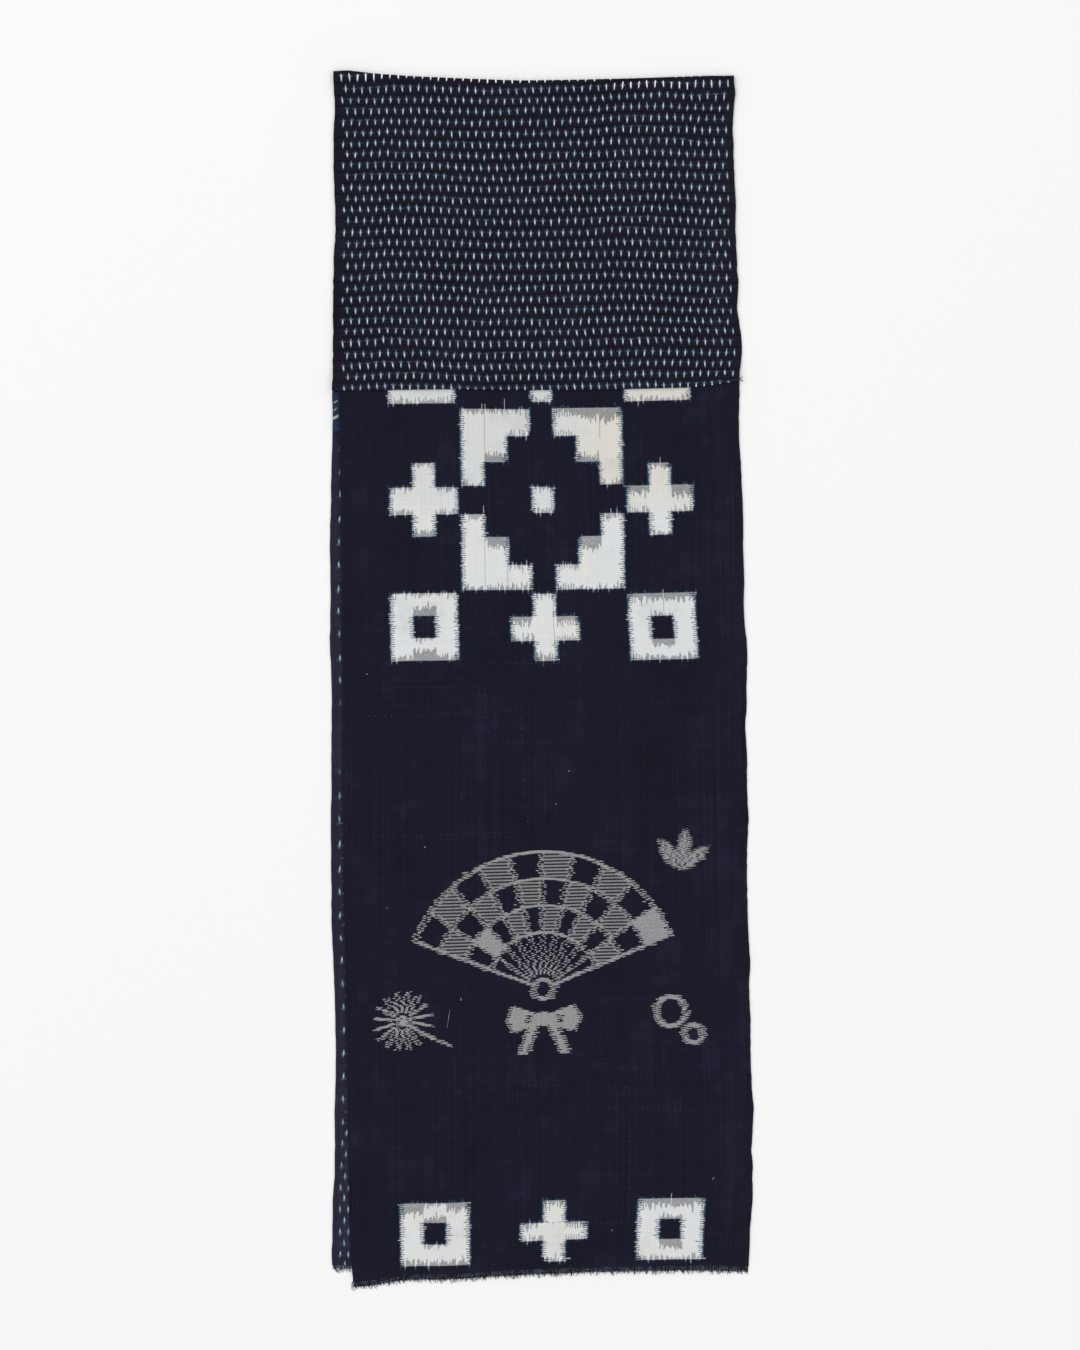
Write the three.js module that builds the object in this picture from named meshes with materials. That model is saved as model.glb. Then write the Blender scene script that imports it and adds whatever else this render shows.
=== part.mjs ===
// A boro scarf: one long pieced strip of indigo cotton, folded in half across its length and laid flat.
// Millimetres. X runs across the strip, Y along it with the fold at +Y, Z up; the floor is Z = 0.
import * as THREE from "three";

// Cloth and sewing sizes.
const WALL = 1.0; // thickness of one layer of cloth
const GAP = 0.3; // clear space between layers that lie on each other
const LAYER = WALL + GAP;
const HEM_WALL = 1.7; // the hem of the long cloth is turned under and pressed
const HEM_DEPTH = 8.5; // how far the turned hem reaches from its edge
const TUCK = 9.0; // how far the block cloth reaches in under the hem
const LAP_EASE = 20.0; // length over which the long cloth comes down beyond the tucked end
const FOLD_RADIUS = 1.75; // middle of the cloth round the fold
const FOLD_EASE = 24.0; // length over which the front settles down behind the fold
const FLOOR_CLEARANCE = 0.2; // height at which overhanging cloth and strands stay off the floor
const DROP_START = 1.0; // the front starts to come down this far past the back layer
const DROP_LENGTH = 8.0; // and reaches the floor over this length

// Frayed ends.
const FRAY_STRIP = 1.1; // width of the last few wefts, which hold the strands
const FRAY_WALL = 0.8;
const FRAY_INSET = 0.2; // the strip ends this far inside the selvedges
const STRAND_ROOT = 0.6; // half the width of a lock of warp ends at its root
const FRONT_STRANDS = 96;
const BACK_STRANDS = 44;
const FRAY_REACH = 5.0; // longest strand past the strip
const STRAND_LEAN = 0.5; // furthest sideways lean of a strand, as a share of its length
const STRAND_SAG = 0.12; // how far a strand's tip hangs, as a share of its length

// How finely the walls are divided.
const COLUMNS = 16;
const ROW_STEP = 20.0;
const BACK_STEP = 90.0;
const FOLD_STEPS = 6;
const LEFT_COLUMNS = [0.018, 0.045, 0.09]; // extra columns near the selvedges, as shares of the width
const RIGHT_COLUMNS = [0.018, 0.045];
const HEM_ROWS = [HEM_DEPTH, HEM_DEPTH + 2, TUCK + 8, TUCK + 14, TUCK + LAP_EASE + 2]; // from the hem
const FOLD_ROWS = [2, 5, 9, 14, 19, FOLD_EASE]; // distances from the fold
const TUCK_ROWS = [TUCK, TUCK + 12, TUCK + 30]; // distances from the tucked end
const SCRAP_ROWS = [0, 8, 15]; // distances past the scrap's lower edge
const END_ROWS = [3, 7, 12]; // distances from a frayed end
const BACK_FOLD_SHARES = [0.003, 0.012]; // shares of the back's length, from the fold
const ROW_SPACE = 4.0; // least distance from the close rows to the even ones

// Selvedges of the long cloth on the front, from the fold down to the hem.
const FRONT_LONG_EDGES = [
  { y: 536.0, left: -182.7, right: 170.0 },
  { y: 505.0, left: -181.8, right: 168.8 },
  { y: 483.0, left: -182.2, right: 168.0 },
  { y: 430.0, left: -182.4, right: 169.7 },
  { y: 394.0, left: -181.5, right: 170.5 },
  { y: 359.0, left: -183.0, right: 171.6 },
  { y: 324.0, left: -182.9, right: 172.5 },
  { y: 290.0, left: -183.0, right: 176.0 },
  { y: 263.0, left: -183.4, right: 173.4 },
  { y: 246.0, left: -183.2, right: 173.4 },
];

// Selvedges of the long cloth on the back layer. Only the left one shows, below the seam.
const BACK_EDGES = [
  { y: 536.0, left: -182.7, right: 170.0 },
  { y: 500.0, left: -180.6, right: 167.6 },
  { y: 290.0, left: -181.4, right: 169.2 },
  { y: 250.0, left: -183.3, right: 169.4 },
  { y: 170.0, left: -183.9, right: 169.8 },
  { y: 70.0, left: -185.6, right: 169.0 },
  { y: 0.0, left: -183.6, right: 168.4 },
  { y: -100.0, left: -184.6, right: 167.8 },
  { y: -200.0, left: -184.0, right: 167.6 },
  { y: -290.0, left: -180.9, right: 168.2 },
  { y: -400.0, left: -181.4, right: 168.6 },
  { y: -450.0, left: -183.5, right: 168.2 },
  { y: -500.0, left: -183.8, right: 167.0 },
  { y: -522.0, left: -182.8, right: 166.4 },
];

// Selvedges of the block cloth, which lies turned by about one degree.
const BLOCK_EDGES = [
  { y: 275.0, left: -177.9, right: 173.0 },
  { y: 240.0, left: -177.6, right: 174.2 },
  { y: 160.0, left: -176.3, right: 176.0 },
  { y: 55.0, left: -175.4, right: 177.8 },
  { y: 24.0, left: -175.0, right: 180.4 },
  { y: -54.0, left: -174.5, right: 179.6 },
  { y: -140.0, left: -173.8, right: 181.3 },
  { y: -190.0, left: -173.2, right: 181.4 },
  { y: -240.0, left: -172.5, right: 182.9 },
  { y: -320.0, left: -171.2, right: 183.1 },
  { y: -370.0, left: -170.4, right: 185.6 },
  { y: -450.0, left: -168.9, right: 185.7 },
  { y: -480.0, left: -168.1, right: 183.8 },
  { y: -522.0, left: -166.4, right: 182.1 },
  { y: -540.0, left: -164.4, right: 182.0 },
];

// The fold, seen from above: hollow between its two corners.
const FOLD_LINE = [
  { x: -183.0, y: 534.2 },
  { x: -170.0, y: 534.9 },
  { x: -148.0, y: 532.4 },
  { x: -118.0, y: 530.2 },
  { x: -72.0, y: 528.0 },
  { x: -20.0, y: 526.2 },
  { x: 32.0, y: 526.8 },
  { x: 88.0, y: 528.2 },
  { x: 140.0, y: 530.0 },
  { x: 170.0, y: 530.4 },
];

// The hemmed edge of the long cloth, sewn over the block cloth.
const SEAM_LINE = [
  { x: -183.0, y: 253.4 },
  { x: -76.0, y: 254.7 },
  { x: 0.0, y: 254.0 },
  { x: 90.0, y: 255.2 },
  { x: 140.0, y: 257.0 },
  { x: 174.0, y: 262.0 },
];

// Woven end of the block cloth, inside its frayed strands.
const FRONT_END = [
  { x: -167.0, y: -530.6 },
  { x: -148.0, y: -528.8 },
  { x: -120.0, y: -524.2 },
  { x: -80.0, y: -523.4 },
  { x: -20.0, y: -519.8 },
  { x: 40.0, y: -517.2 },
  { x: 130.0, y: -515.6 },
  { x: 183.0, y: -516.6 },
];

// Woven end of the back layer.
const BACK_END = [
  { x: -184.0, y: -515.8 },
  { x: -120.0, y: -514.6 },
  { x: 0.0, y: -511.0 },
  { x: 167.0, y: -507.0 },
];

// The blue scrap on the back layer. Its inner part lies hidden under the front.
const SCRAP = { left: -183.0, right: -155.0, high: 252.6, low: 217.6, inset: 0.4, ease: 22.0, rim: 3.0 };

// Soft swells of the front where it doesn't lie quite flat: centre, turn from X, half sizes and height.
const SWELLS = [
  { x: -96.0, y: 452.0, turn: 12, along: 90, across: 16, height: 0.6 },
  { x: 62.0, y: 476.0, turn: -20, along: 110, across: 18, height: 0.7 },
  { x: 150.0, y: 300.0, turn: 78, along: 70, across: 14, height: 0.9 },
  { x: -20.0, y: 330.0, turn: 5, along: 120, across: 15, height: 0.5 },
  { x: 168.0, y: 40.0, turn: 86, along: 120, across: 13, height: 1.0 },
  { x: 96.0, y: 96.0, turn: 64, along: 120, across: 17, height: 0.7 },
  { x: -60.0, y: -14.0, turn: 8, along: 80, across: 14, height: 0.8 },
  { x: -130.0, y: -150.0, turn: 72, along: 90, across: 16, height: 0.6 },
  { x: 20.0, y: -190.0, turn: -12, along: 130, across: 18, height: 0.6 },
  { x: 160.0, y: -330.0, turn: 84, along: 140, across: 13, height: 1.1 },
  { x: -110.0, y: -372.0, turn: 18, along: 90, across: 16, height: 0.7 },
  { x: 36.0, y: -430.0, turn: -6, along: 100, across: 15, height: 0.6 },
];

const { lerp, clamp, smoothstep, degToRad } = THREE.MathUtils;

// A smooth curve through a table's rows, read at a value of its key column.
function curve(rows, key, value) {
  const order = [...rows].sort((a, b) => a[key] - b[key]);
  const slope = (i) => {
    const before = order[Math.max(i - 1, 0)];
    const after = order[Math.min(i + 1, order.length - 1)];
    return (after[value] - before[value]) / (after[key] - before[key]);
  };
  return (at) => {
    const place = clamp(at, order[0][key], order[order.length - 1][key]);
    const found = order.findIndex((row) => row[key] >= place);
    const i = Math.max(found - 1, 0);
    const span = order[i + 1][key] - order[i][key];
    const t = (place - order[i][key]) / span;
    const fromLow = order[i][value] + slope(i) * span * t * (1 - t) * (1 - t);
    const fromHigh = order[i + 1][value] - slope(i + 1) * span * t * t * (1 - t);
    const share = t * t * (3 - 2 * t);
    return fromLow + (fromHigh - fromLow) * share;
  };
}

const foldY = curve(FOLD_LINE, "x", "y");
const seamY = curve(SEAM_LINE, "x", "y");
const frontEndY = curve(FRONT_END, "x", "y");
const backEndY = curve(BACK_END, "x", "y");
const backRight = curve(BACK_EDGES, "y", "right");

// One layer of cloth seen from above: u runs from the left to the right selvedge, v from low to high.
class Layer {
  constructor(edges, low, high) {
    this.left = curve(edges, "y", "left");
    this.right = curve(edges, "y", "right");
    this.low = low;
    this.high = high;
  }

  spot(u, v) {
    const middle = lerp(this.low(0), this.high(0), v);
    const guess = lerp(this.left(middle), this.right(middle), u);
    const y = lerp(this.low(guess), this.high(guess), v);
    return { x: lerp(this.left(y), this.right(y), u), y };
  }
}

const frontLong = new Layer(FRONT_LONG_EDGES, seamY, (x) => foldY(x) - FOLD_RADIUS);
const backLong = new Layer(BACK_EDGES, backEndY, (x) => foldY(x) - FOLD_RADIUS);
const block = new Layer(BLOCK_EDGES, frontEndY, (x) => seamY(x) + TUCK);

// Height of the soft swells over a place.
function swell(x, y) {
  return SWELLS.reduce((sum, s) => {
    const turn = degToRad(s.turn);
    const along = ((x - s.x) * Math.cos(turn) + (y - s.y) * Math.sin(turn)) / s.along;
    const across = ((y - s.y) * Math.cos(turn) - (x - s.x) * Math.sin(turn)) / s.across;
    return sum + s.height * Math.exp(-2 * (along * along + across * across));
  }, 0);
}

// How much the scrap lifts what lies on it: a flat top that eases out on all sides.
function scrapLift(x, y) {
  const outX = Math.max(SCRAP.left - x, x - SCRAP.right, 0);
  const outY = Math.max(SCRAP.low - y, y - SCRAP.high, 0);
  const out = Math.hypot(outX, outY);
  return LAYER * (1 - smoothstep(out, SCRAP.rim, SCRAP.rim + SCRAP.ease));
}

// Underside of the front's lower layer: it lies on the back and comes down to the floor past its edges.
function frontUnderside(x, y) {
  const past = Math.max(x - backRight(y), backEndY(x) - FRAY_REACH - y);
  const drop = (LAYER - FLOOR_CLEARANCE) * smoothstep(past, DROP_START, DROP_START + DROP_LENGTH);
  return LAYER - drop + scrapLift(x, y) + swell(x, y);
}

// Underside of the long cloth on the front: it also climbs over the tucked end of the block cloth.
function longUnderside(x, y) {
  const lap = 1 - smoothstep(y - seamY(x), TUCK + 2, TUCK + 2 + LAP_EASE);
  const rise = 2 * FOLD_RADIUS - LAYER;
  const nearFold = smoothstep(y, foldY(x) - FOLD_RADIUS - FOLD_EASE, foldY(x) - FOLD_RADIUS);
  const calm = 1 - nearFold;
  return frontUnderside(x, y) * calm + LAYER * nearFold + LAYER * lap + rise * nearFold;
}

// Evenly spaced shares from 0 to 1, with some more near the ends.
function shares(count, nearLow = [], nearHigh = []) {
  const even = Array.from({ length: count + 1 }, (_, i) => i / count);
  const far = nearHigh.map((s) => 1 - s);
  return [...new Set([...even, ...nearLow, ...far])].sort((a, b) => a - b);
}

// A closed wall from rows of middle points, each with its own thickness. Rows run up, columns to the right.
function wall(rows) {
  const height = rows.length;
  const width = rows[0].length;
  const at = (r, c) => rows[clamp(r, 0, height - 1)][clamp(c, 0, width - 1)].point;
  const positions = [];
  for (const side of [1, -1]) {
    for (let r = 0; r < height; r += 1) {
      for (let c = 0; c < width; c += 1) {
        const across = at(r, c + 1).clone().sub(at(r, c - 1));
        const upward = at(r + 1, c).clone().sub(at(r - 1, c));
        const normal = across.cross(upward).normalize();
        const { point, thick } = rows[r][c];
        const outer = point.clone().addScaledVector(normal, (side * thick) / 2);
        positions.push(outer.x, outer.y, Math.max(outer.z, 0));
      }
    }
  }
  const id = (side, r, c) => side * height * width + r * width + c;
  const faces = [];
  const quad = (a, b, c, d) => faces.push(a, b, c, a, c, d);
  for (let r = 0; r + 1 < height; r += 1) {
    for (let c = 0; c + 1 < width; c += 1) {
      quad(id(0, r, c), id(0, r, c + 1), id(0, r + 1, c + 1), id(0, r + 1, c));
      quad(id(1, r, c), id(1, r + 1, c), id(1, r + 1, c + 1), id(1, r, c + 1));
    }
  }
  for (let c = 0; c + 1 < width; c += 1) {
    const last = height - 1;
    quad(id(0, 0, c), id(1, 0, c), id(1, 0, c + 1), id(0, 0, c + 1));
    quad(id(0, last, c + 1), id(1, last, c + 1), id(1, last, c), id(0, last, c));
  }
  for (let r = 0; r + 1 < height; r += 1) {
    const last = width - 1;
    quad(id(0, r + 1, 0), id(1, r + 1, 0), id(1, r, 0), id(0, r, 0));
    quad(id(0, r, last), id(1, r, last), id(1, r + 1, last), id(0, r + 1, last));
  }
  const geometry = new THREE.BufferGeometry();
  geometry.setAttribute("position", new THREE.Float32BufferAttribute(positions, 3));
  geometry.setIndex(faces);
  return geometry;
}

const columnShares = shares(COLUMNS, LEFT_COLUMNS, RIGHT_COLUMNS);

// A row of middle points of a layer, over a given underside.
function layerRow(layer, v, underside, thick) {
  return columnShares.map((u) => {
    const { x, y } = layer.spot(u, v);
    return { point: new THREE.Vector3(x, y, underside(x, y) + thick / 2), thick };
  });
}

// The long cloth, from its hem over the fold and down the back.
function longCloth() {
  const frontLength = foldY(0) - FOLD_RADIUS - seamY(0);
  const backLength = foldY(0) - backEndY(0);
  const low = (Math.max(...HEM_ROWS) + ROW_SPACE) / frontLength;
  const high = 1 - (FOLD_EASE + ROW_SPACE) / frontLength;
  const even = shares(Math.round(frontLength / ROW_STEP)).filter((v) => v > low && v < high);
  const nearHem = HEM_ROWS.map((d) => d / frontLength);
  const nearFold = FOLD_ROWS.map((d) => 1 - d / frontLength);
  const frontShares = [0, ...nearHem, ...even, ...nearFold].sort((a, b) => a - b);
  const rows = frontShares.map((v) => {
    const turned = v <= nearHem[0];
    return layerRow(frontLong, v, longUnderside, turned ? HEM_WALL : WALL);
  });
  for (let i = 0; i <= FOLD_STEPS; i += 1) {
    const angle = Math.PI * (0.5 - i / FOLD_STEPS);
    rows.push(
      columnShares.map((u) => {
        const top = frontLong.spot(u, 1);
        const low = backLong.spot(u, 1);
        const x = lerp(top.x, low.x, i / FOLD_STEPS);
        const y = top.y + FOLD_RADIUS * Math.cos(angle);
        const z = WALL / 2 + FOLD_RADIUS * (1 + Math.sin(angle));
        return { point: new THREE.Vector3(x, y, z), thick: WALL };
      }),
    );
  }
  const backShares = shares(Math.round(backLength / BACK_STEP), [], BACK_FOLD_SHARES);
  for (const v of backShares.slice(0, -1).reverse()) {
    rows.push(layerRow(backLong, v, () => 0, WALL));
  }
  return wall(rows);
}

// The block cloth, from its frayed end up to the end that is tucked under the hem.
function blockCloth() {
  const length = seamY(0) + TUCK - frontEndY(0);
  const scrapEnd = seamY(0) + TUCK - SCRAP.low + SCRAP.rim;
  const nearTop = [...TUCK_ROWS, ...SCRAP_ROWS.map((d) => scrapEnd + d)].map((d) => d / length);
  const nearEnd = END_ROWS.map((d) => d / length);
  const rows = shares(Math.round(length / ROW_STEP), nearEnd, nearTop);
  return wall(rows.map((v) => layerRow(block, v, frontUnderside, WALL)));
}

// The scrap, flat on the back layer, its left edge following the selvedge below it.
function blueScrap() {
  const left = curve(BACK_EDGES, "y", "left");
  const rows = [0, 0.5, 1].map((v) =>
    [0, 0.5, 1].map((u) => {
      const y = lerp(SCRAP.low, SCRAP.high, v);
      const x = lerp(left(y) + SCRAP.inset, SCRAP.right, u);
      return { point: new THREE.Vector3(x, y, LAYER + WALL / 2), thick: WALL };
    }),
  );
  return wall(rows);
}

// Repeatable uneven number from 0 to 1 for a strand.
function uneven(index, seed) {
  const value = Math.sin(index * 12.9898 + seed * 78.233) * 43758.5453;
  return value - Math.floor(value);
}

// A frayed end: the last few wefts as a narrow strip along a layer's end, with four-sided locks of warp
// ends on it that taper to points.
function frayedEnd(layer, underside, strands, seed) {
  const corners = columnShares.map((u) => layer.spot(u, 0));
  const endY = (x) => {
    const found = corners.findIndex((corner) => corner.x >= x);
    const [a, b] = [corners[found - 1], corners[found]];
    return lerp(a.y, b.y, (x - a.x) / (b.x - a.x));
  };
  const positions = [];
  const faces = [];
  const add = (x, y, z) => positions.push(x, y, z) / 3 - 1;
  const quad = (a, b, c, d) => faces.push(a, b, c, a, c, d);
  const section = (x) => {
    const inner = endY(x) - GAP;
    const outer = inner - FRAY_STRIP;
    const low = underside(x, inner) + (WALL - FRAY_WALL) / 2;
    const high = low + FRAY_WALL;
    return [add(x, inner, high), add(x, outer, high), add(x, outer, low), add(x, inner, low)];
  };
  const start = corners[0].x + FRAY_INSET;
  const end = corners[corners.length - 1].x - FRAY_INSET;
  const stations = [section(start)];
  for (let i = 0; i < strands; i += 1) {
    const share = (i + 0.5 + 0.4 * (uneven(i, seed) - 0.5)) / strands;
    const x = lerp(start, end, share);
    const reach = FRAY_REACH * lerp(0.35, 1, uneven(i, seed + 1) ** 1.6);
    const lean = reach * STRAND_LEAN * (2 * uneven(i, seed + 2) - 1);
    const rootLeft = section(x - STRAND_ROOT);
    const rootRight = section(x + STRAND_ROOT);
    const rootY = endY(x) - GAP - FRAY_STRIP;
    const rootZ = underside(x, rootY) + WALL / 2;
    const tipZ = Math.max(rootZ - reach * STRAND_SAG, FLOOR_CLEARANCE);
    const tip = add(x + lean, rootY - reach, tipZ);
    const [leftHigh, leftLow] = [rootLeft[1], rootLeft[2]];
    const [rightHigh, rightLow] = [rootRight[1], rootRight[2]];
    faces.push(tip, rightHigh, leftHigh, tip, leftLow, rightLow);
    faces.push(tip, leftHigh, leftLow, tip, rightLow, rightHigh);
    stations.push(rootLeft, rootRight);
  }
  stations.push(section(end));
  for (let i = 0; i + 1 < stations.length; i += 1) {
    const [a, b] = [stations[i], stations[i + 1]];
    quad(a[1], b[1], b[0], a[0]);
    quad(a[3], b[3], b[2], a[2]);
    quad(a[0], b[0], b[3], a[3]);
    const carriesLock = i % 2 === 1;
    if (!carriesLock) {
      quad(a[2], b[2], b[1], a[1]);
    }
  }
  const [first, last] = [stations[0], stations[stations.length - 1]];
  quad(first[0], first[3], first[2], first[1]);
  quad(last[0], last[1], last[2], last[3]);
  const geometry = new THREE.BufferGeometry();
  geometry.setAttribute("position", new THREE.Float32BufferAttribute(positions, 3));
  geometry.setIndex(faces);
  return geometry;
}

function piece(name, geometry, color, roughness) {
  const material = new THREE.MeshStandardMaterial({ color, roughness, metalness: 0 });
  const mesh = new THREE.Mesh(geometry, material);
  mesh.name = name;
  return mesh;
}

const scarf = new THREE.Group();
scarf.add(
  piece("cross_cloth", longCloth(), 0x2c313e, 0.92),
  piece("block_cloth", blockCloth(), 0x1f1e2d, 0.9),
  piece("blue_scrap", blueScrap(), 0x26375a, 0.92),
  piece("front_fray", frayedEnd(block, frontUnderside, FRONT_STRANDS, 3), 0x23232f, 0.95),
  piece("back_fray", frayedEnd(backLong, () => 0, BACK_STRANDS, 11), 0x2c313e, 0.95),
);

export default scarf;
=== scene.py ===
"""Looks of a boro scarf: a long pieced strip of indigo cotton, folded in half and laid flat on a pale floor.

Sizes are in millimetres and are turned into metres where meshes are made. Cloth patterns are drawn in the
cloth's own coordinates: the UV map holds metres across from the cloth's centre line and metres along it.
"""

import logging
import math
from dataclasses import dataclass
from enum import Enum
from typing import Callable, Iterator, NamedTuple, Sequence

import bpy
import numpy as np
from bpy.types import Material, Node, NodeSocket, Object
from bpy.types import NodeTree as ShaderTree
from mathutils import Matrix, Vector


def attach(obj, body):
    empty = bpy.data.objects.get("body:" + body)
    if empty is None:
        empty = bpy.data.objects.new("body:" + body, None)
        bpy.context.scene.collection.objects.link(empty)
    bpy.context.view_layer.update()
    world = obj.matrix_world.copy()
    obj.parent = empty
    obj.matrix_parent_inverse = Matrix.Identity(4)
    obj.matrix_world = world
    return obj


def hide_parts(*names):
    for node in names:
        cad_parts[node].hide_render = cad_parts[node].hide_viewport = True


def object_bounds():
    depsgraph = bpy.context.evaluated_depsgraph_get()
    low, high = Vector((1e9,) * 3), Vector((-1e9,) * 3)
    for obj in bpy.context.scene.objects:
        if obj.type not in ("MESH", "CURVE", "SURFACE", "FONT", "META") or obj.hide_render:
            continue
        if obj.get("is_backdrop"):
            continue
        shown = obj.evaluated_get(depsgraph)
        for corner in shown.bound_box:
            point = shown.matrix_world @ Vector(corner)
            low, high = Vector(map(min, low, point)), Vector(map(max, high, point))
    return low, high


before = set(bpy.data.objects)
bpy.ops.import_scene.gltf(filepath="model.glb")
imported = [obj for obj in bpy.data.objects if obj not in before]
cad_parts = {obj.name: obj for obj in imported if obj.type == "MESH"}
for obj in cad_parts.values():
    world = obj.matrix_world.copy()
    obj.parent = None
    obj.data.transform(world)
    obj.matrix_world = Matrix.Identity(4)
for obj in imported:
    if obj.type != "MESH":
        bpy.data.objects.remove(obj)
cad_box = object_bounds()

log = logging.getLogger("scarf")

MM = 0.001
WALL = 1.0
GAP = 0.3
LAYER = WALL + GAP
HEM_WALL = 1.7
HEM_DEPTH = 8.5
HEM_SLOPE = 0.6
TUCK = 9.0
LAP_EASE = 20.0
FOLD_RADIUS = 1.75
FOLD_EASE = 24.0
FLOOR_CLEARANCE = 0.2
DROP_START = 1.0
DROP_LENGTH = 8.0
LAP_START = 2.0
SWELL_FALL = 2.0
FULL_TURN = 2 * math.pi
SOFT_EDGE = 0.25
FRAY_REACH = 5.0
CLOTH_THICK = 0.7
LONG_WIDTH = 353.0
BLOCK_WIDTH = 355.0

Triple = tuple[float, float, float]
Values = np.ndarray
Curve = Callable[[Values], Values]


class Edge(NamedTuple):
    """Where a layer's two selvedges lie at one height of the picture."""

    y: float
    left: float
    right: float


class Stop(NamedTuple):
    """A point of a line that crosses the cloth."""

    x: float
    y: float


class Swell(NamedTuple):
    """A soft rise of the front: centre, turn from X in degrees, half sizes and height."""

    x: float
    y: float
    turn: float
    along: float
    across: float
    height: float


FRONT_LONG_EDGES = tuple(Edge(*row) for row in (
    (536, -182.7, 170), (505, -181.8, 168.8), (483, -182.2, 168), (430, -182.4, 169.7),
    (394, -181.5, 170.5), (359, -183, 171.6), (324, -182.9, 172.5), (290, -183, 176),
    (263, -183.4, 173.4), (246, -183.2, 173.4),
))

BACK_EDGES = tuple(Edge(*row) for row in (
    (536, -182.7, 170), (500, -180.6, 167.6), (290, -181.4, 169.2), (250, -183.3, 169.4),
    (170, -183.9, 169.8), (70, -185.6, 169), (0, -183.6, 168.4), (-100, -184.6, 167.8),
    (-200, -184, 167.6), (-290, -180.9, 168.2), (-400, -181.4, 168.6), (-450, -183.5, 168.2),
    (-500, -183.8, 167), (-522, -182.8, 166.4),
))

BLOCK_EDGES = tuple(Edge(*row) for row in (
    (275, -177.9, 173), (240, -177.6, 174.2), (160, -176.3, 176), (55, -175.4, 177.8),
    (24, -175, 180.4), (-54, -174.5, 179.6), (-140, -173.8, 181.3), (-190, -173.2, 181.4),
    (-240, -172.5, 182.9), (-320, -171.2, 183.1), (-370, -170.4, 185.6), (-450, -168.9, 185.7),
    (-480, -168.1, 183.8), (-522, -166.4, 182.1), (-540, -164.4, 182),
))

FOLD_LINE = tuple(Stop(*row) for row in (
    (-183, 534.2), (-170, 534.9), (-148, 532.4), (-118, 530.2), (-72, 528), (-20, 526.2),
    (32, 526.8), (88, 528.2), (140, 530), (170, 530.4),
))

SEAM_LINE = tuple(Stop(*row) for row in (
    (-183, 253.4), (-76, 254.7), (0, 254), (90, 255.2), (140, 257), (174, 262),
))

FRONT_END = tuple(Stop(*row) for row in (
    (-167, -530.6), (-148, -528.8), (-120, -524.2), (-80, -523.4), (-20, -519.8), (40, -517.2),
    (130, -515.6), (183, -516.6),
))

BACK_END = tuple(Stop(*row) for row in (
    (-184, -515.8), (-120, -514.6), (0, -511), (167, -507),
))

SWELLS = tuple(Swell(*row) for row in (
    (-96, 452, 12, 90, 16, 0.6), (62, 476, -20, 110, 18, 0.7), (150, 300, 78, 70, 14, 0.9),
    (-20, 330, 5, 120, 15, 0.5), (168, 40, 86, 120, 13, 1), (96, 96, 64, 120, 17, 0.7),
    (-60, -14, 8, 80, 14, 0.8), (-130, -150, 72, 90, 16, 0.6), (20, -190, -12, 130, 18, 0.6),
    (160, -330, 84, 140, 13, 1.1), (-110, -372, 18, 90, 16, 0.7), (36, -430, -6, 100, 15, 0.6),
))


def smooth_curve(rows: Sequence[NamedTuple], key: str, value: str) -> Curve:
    """Returns a smooth curve through a table's rows.

    Args:
        rows: the table.
        key: the column that the curve is read by.
        value: the column that it gives.

    Returns:
        A function of an array of keys.
    """
    order = sorted(rows, key=lambda row: getattr(row, key))
    keys = np.array([getattr(row, key) for row in order], float)
    values = np.array([getattr(row, value) for row in order], float)
    last = len(keys) - 1
    before = np.maximum(np.arange(last + 1) - 1, 0)
    after = np.minimum(np.arange(last + 1) + 1, last)
    slopes = (values[after] - values[before]) / (keys[after] - keys[before])

    def read(at: Values) -> Values:
        """Reads the curve.

        Args:
            at: where to read it.

        Returns:
            The values there.
        """
        place = np.clip(np.asarray(at, float), keys[0], keys[-1])
        i = np.clip(np.searchsorted(keys, place) - 1, 0, last - 1)
        span = keys[i + 1] - keys[i]
        t = (place - keys[i]) / span
        low = values[i] + slopes[i] * span * t * (1 - t) ** 2
        high = values[i + 1] - slopes[i + 1] * span * t * t * (1 - t)
        return low + (high - low) * t * t * (3 - 2 * t)

    return read


def ease(value: Values, low: float | Values, high: float | Values) -> Values:
    """Rises smoothly from 0 at low to 1 at high."""
    t = np.clip((value - low) / (high - low), 0, 1)
    return t * t * (3 - 2 * t)


def mix(a: Values, b: Values, share: float | Values) -> Values:
    """Goes from a to b as share goes from 0 to 1."""
    return a + (b - a) * share


fold_y = smooth_curve(FOLD_LINE, "x", "y")
seam_y = smooth_curve(SEAM_LINE, "x", "y")
front_end_y = smooth_curve(FRONT_END, "x", "y")
back_end_y = smooth_curve(BACK_END, "x", "y")
back_right = smooth_curve(BACK_EDGES, "y", "right")


class Layer:
    """One layer of cloth seen from above: u runs between its selvedges, v from its low to its high end."""

    def __init__(self, edges: Sequence[Edge], low: Curve, high: Curve) -> None:
        """Takes the selvedges' table and the curves of both ends.

        Args:
            edges: the selvedges' table.
            low: the lower end.
            high: the upper end.
        """
        self.left = smooth_curve(edges, "y", "left")
        self.right = smooth_curve(edges, "y", "right")
        self.low = low
        self.high = high

    def spot(self, u: Values, v: Values) -> tuple[Values, Values]:
        """Gives the place of a point of the cloth.

        Args:
            u: shares of the width.
            v: shares of the length.

        Returns:
            The x and y of each point.
        """
        middle = mix(self.low(0.0), self.high(0.0), v)
        guess = mix(self.left(middle), self.right(middle), u)
        y = mix(self.low(guess), self.high(guess), v)
        return mix(self.left(y), self.right(y), u), y

    def length(self) -> float:
        """The length of the layer along its middle."""
        return float(self.high(0.0) - self.low(0.0))


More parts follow.
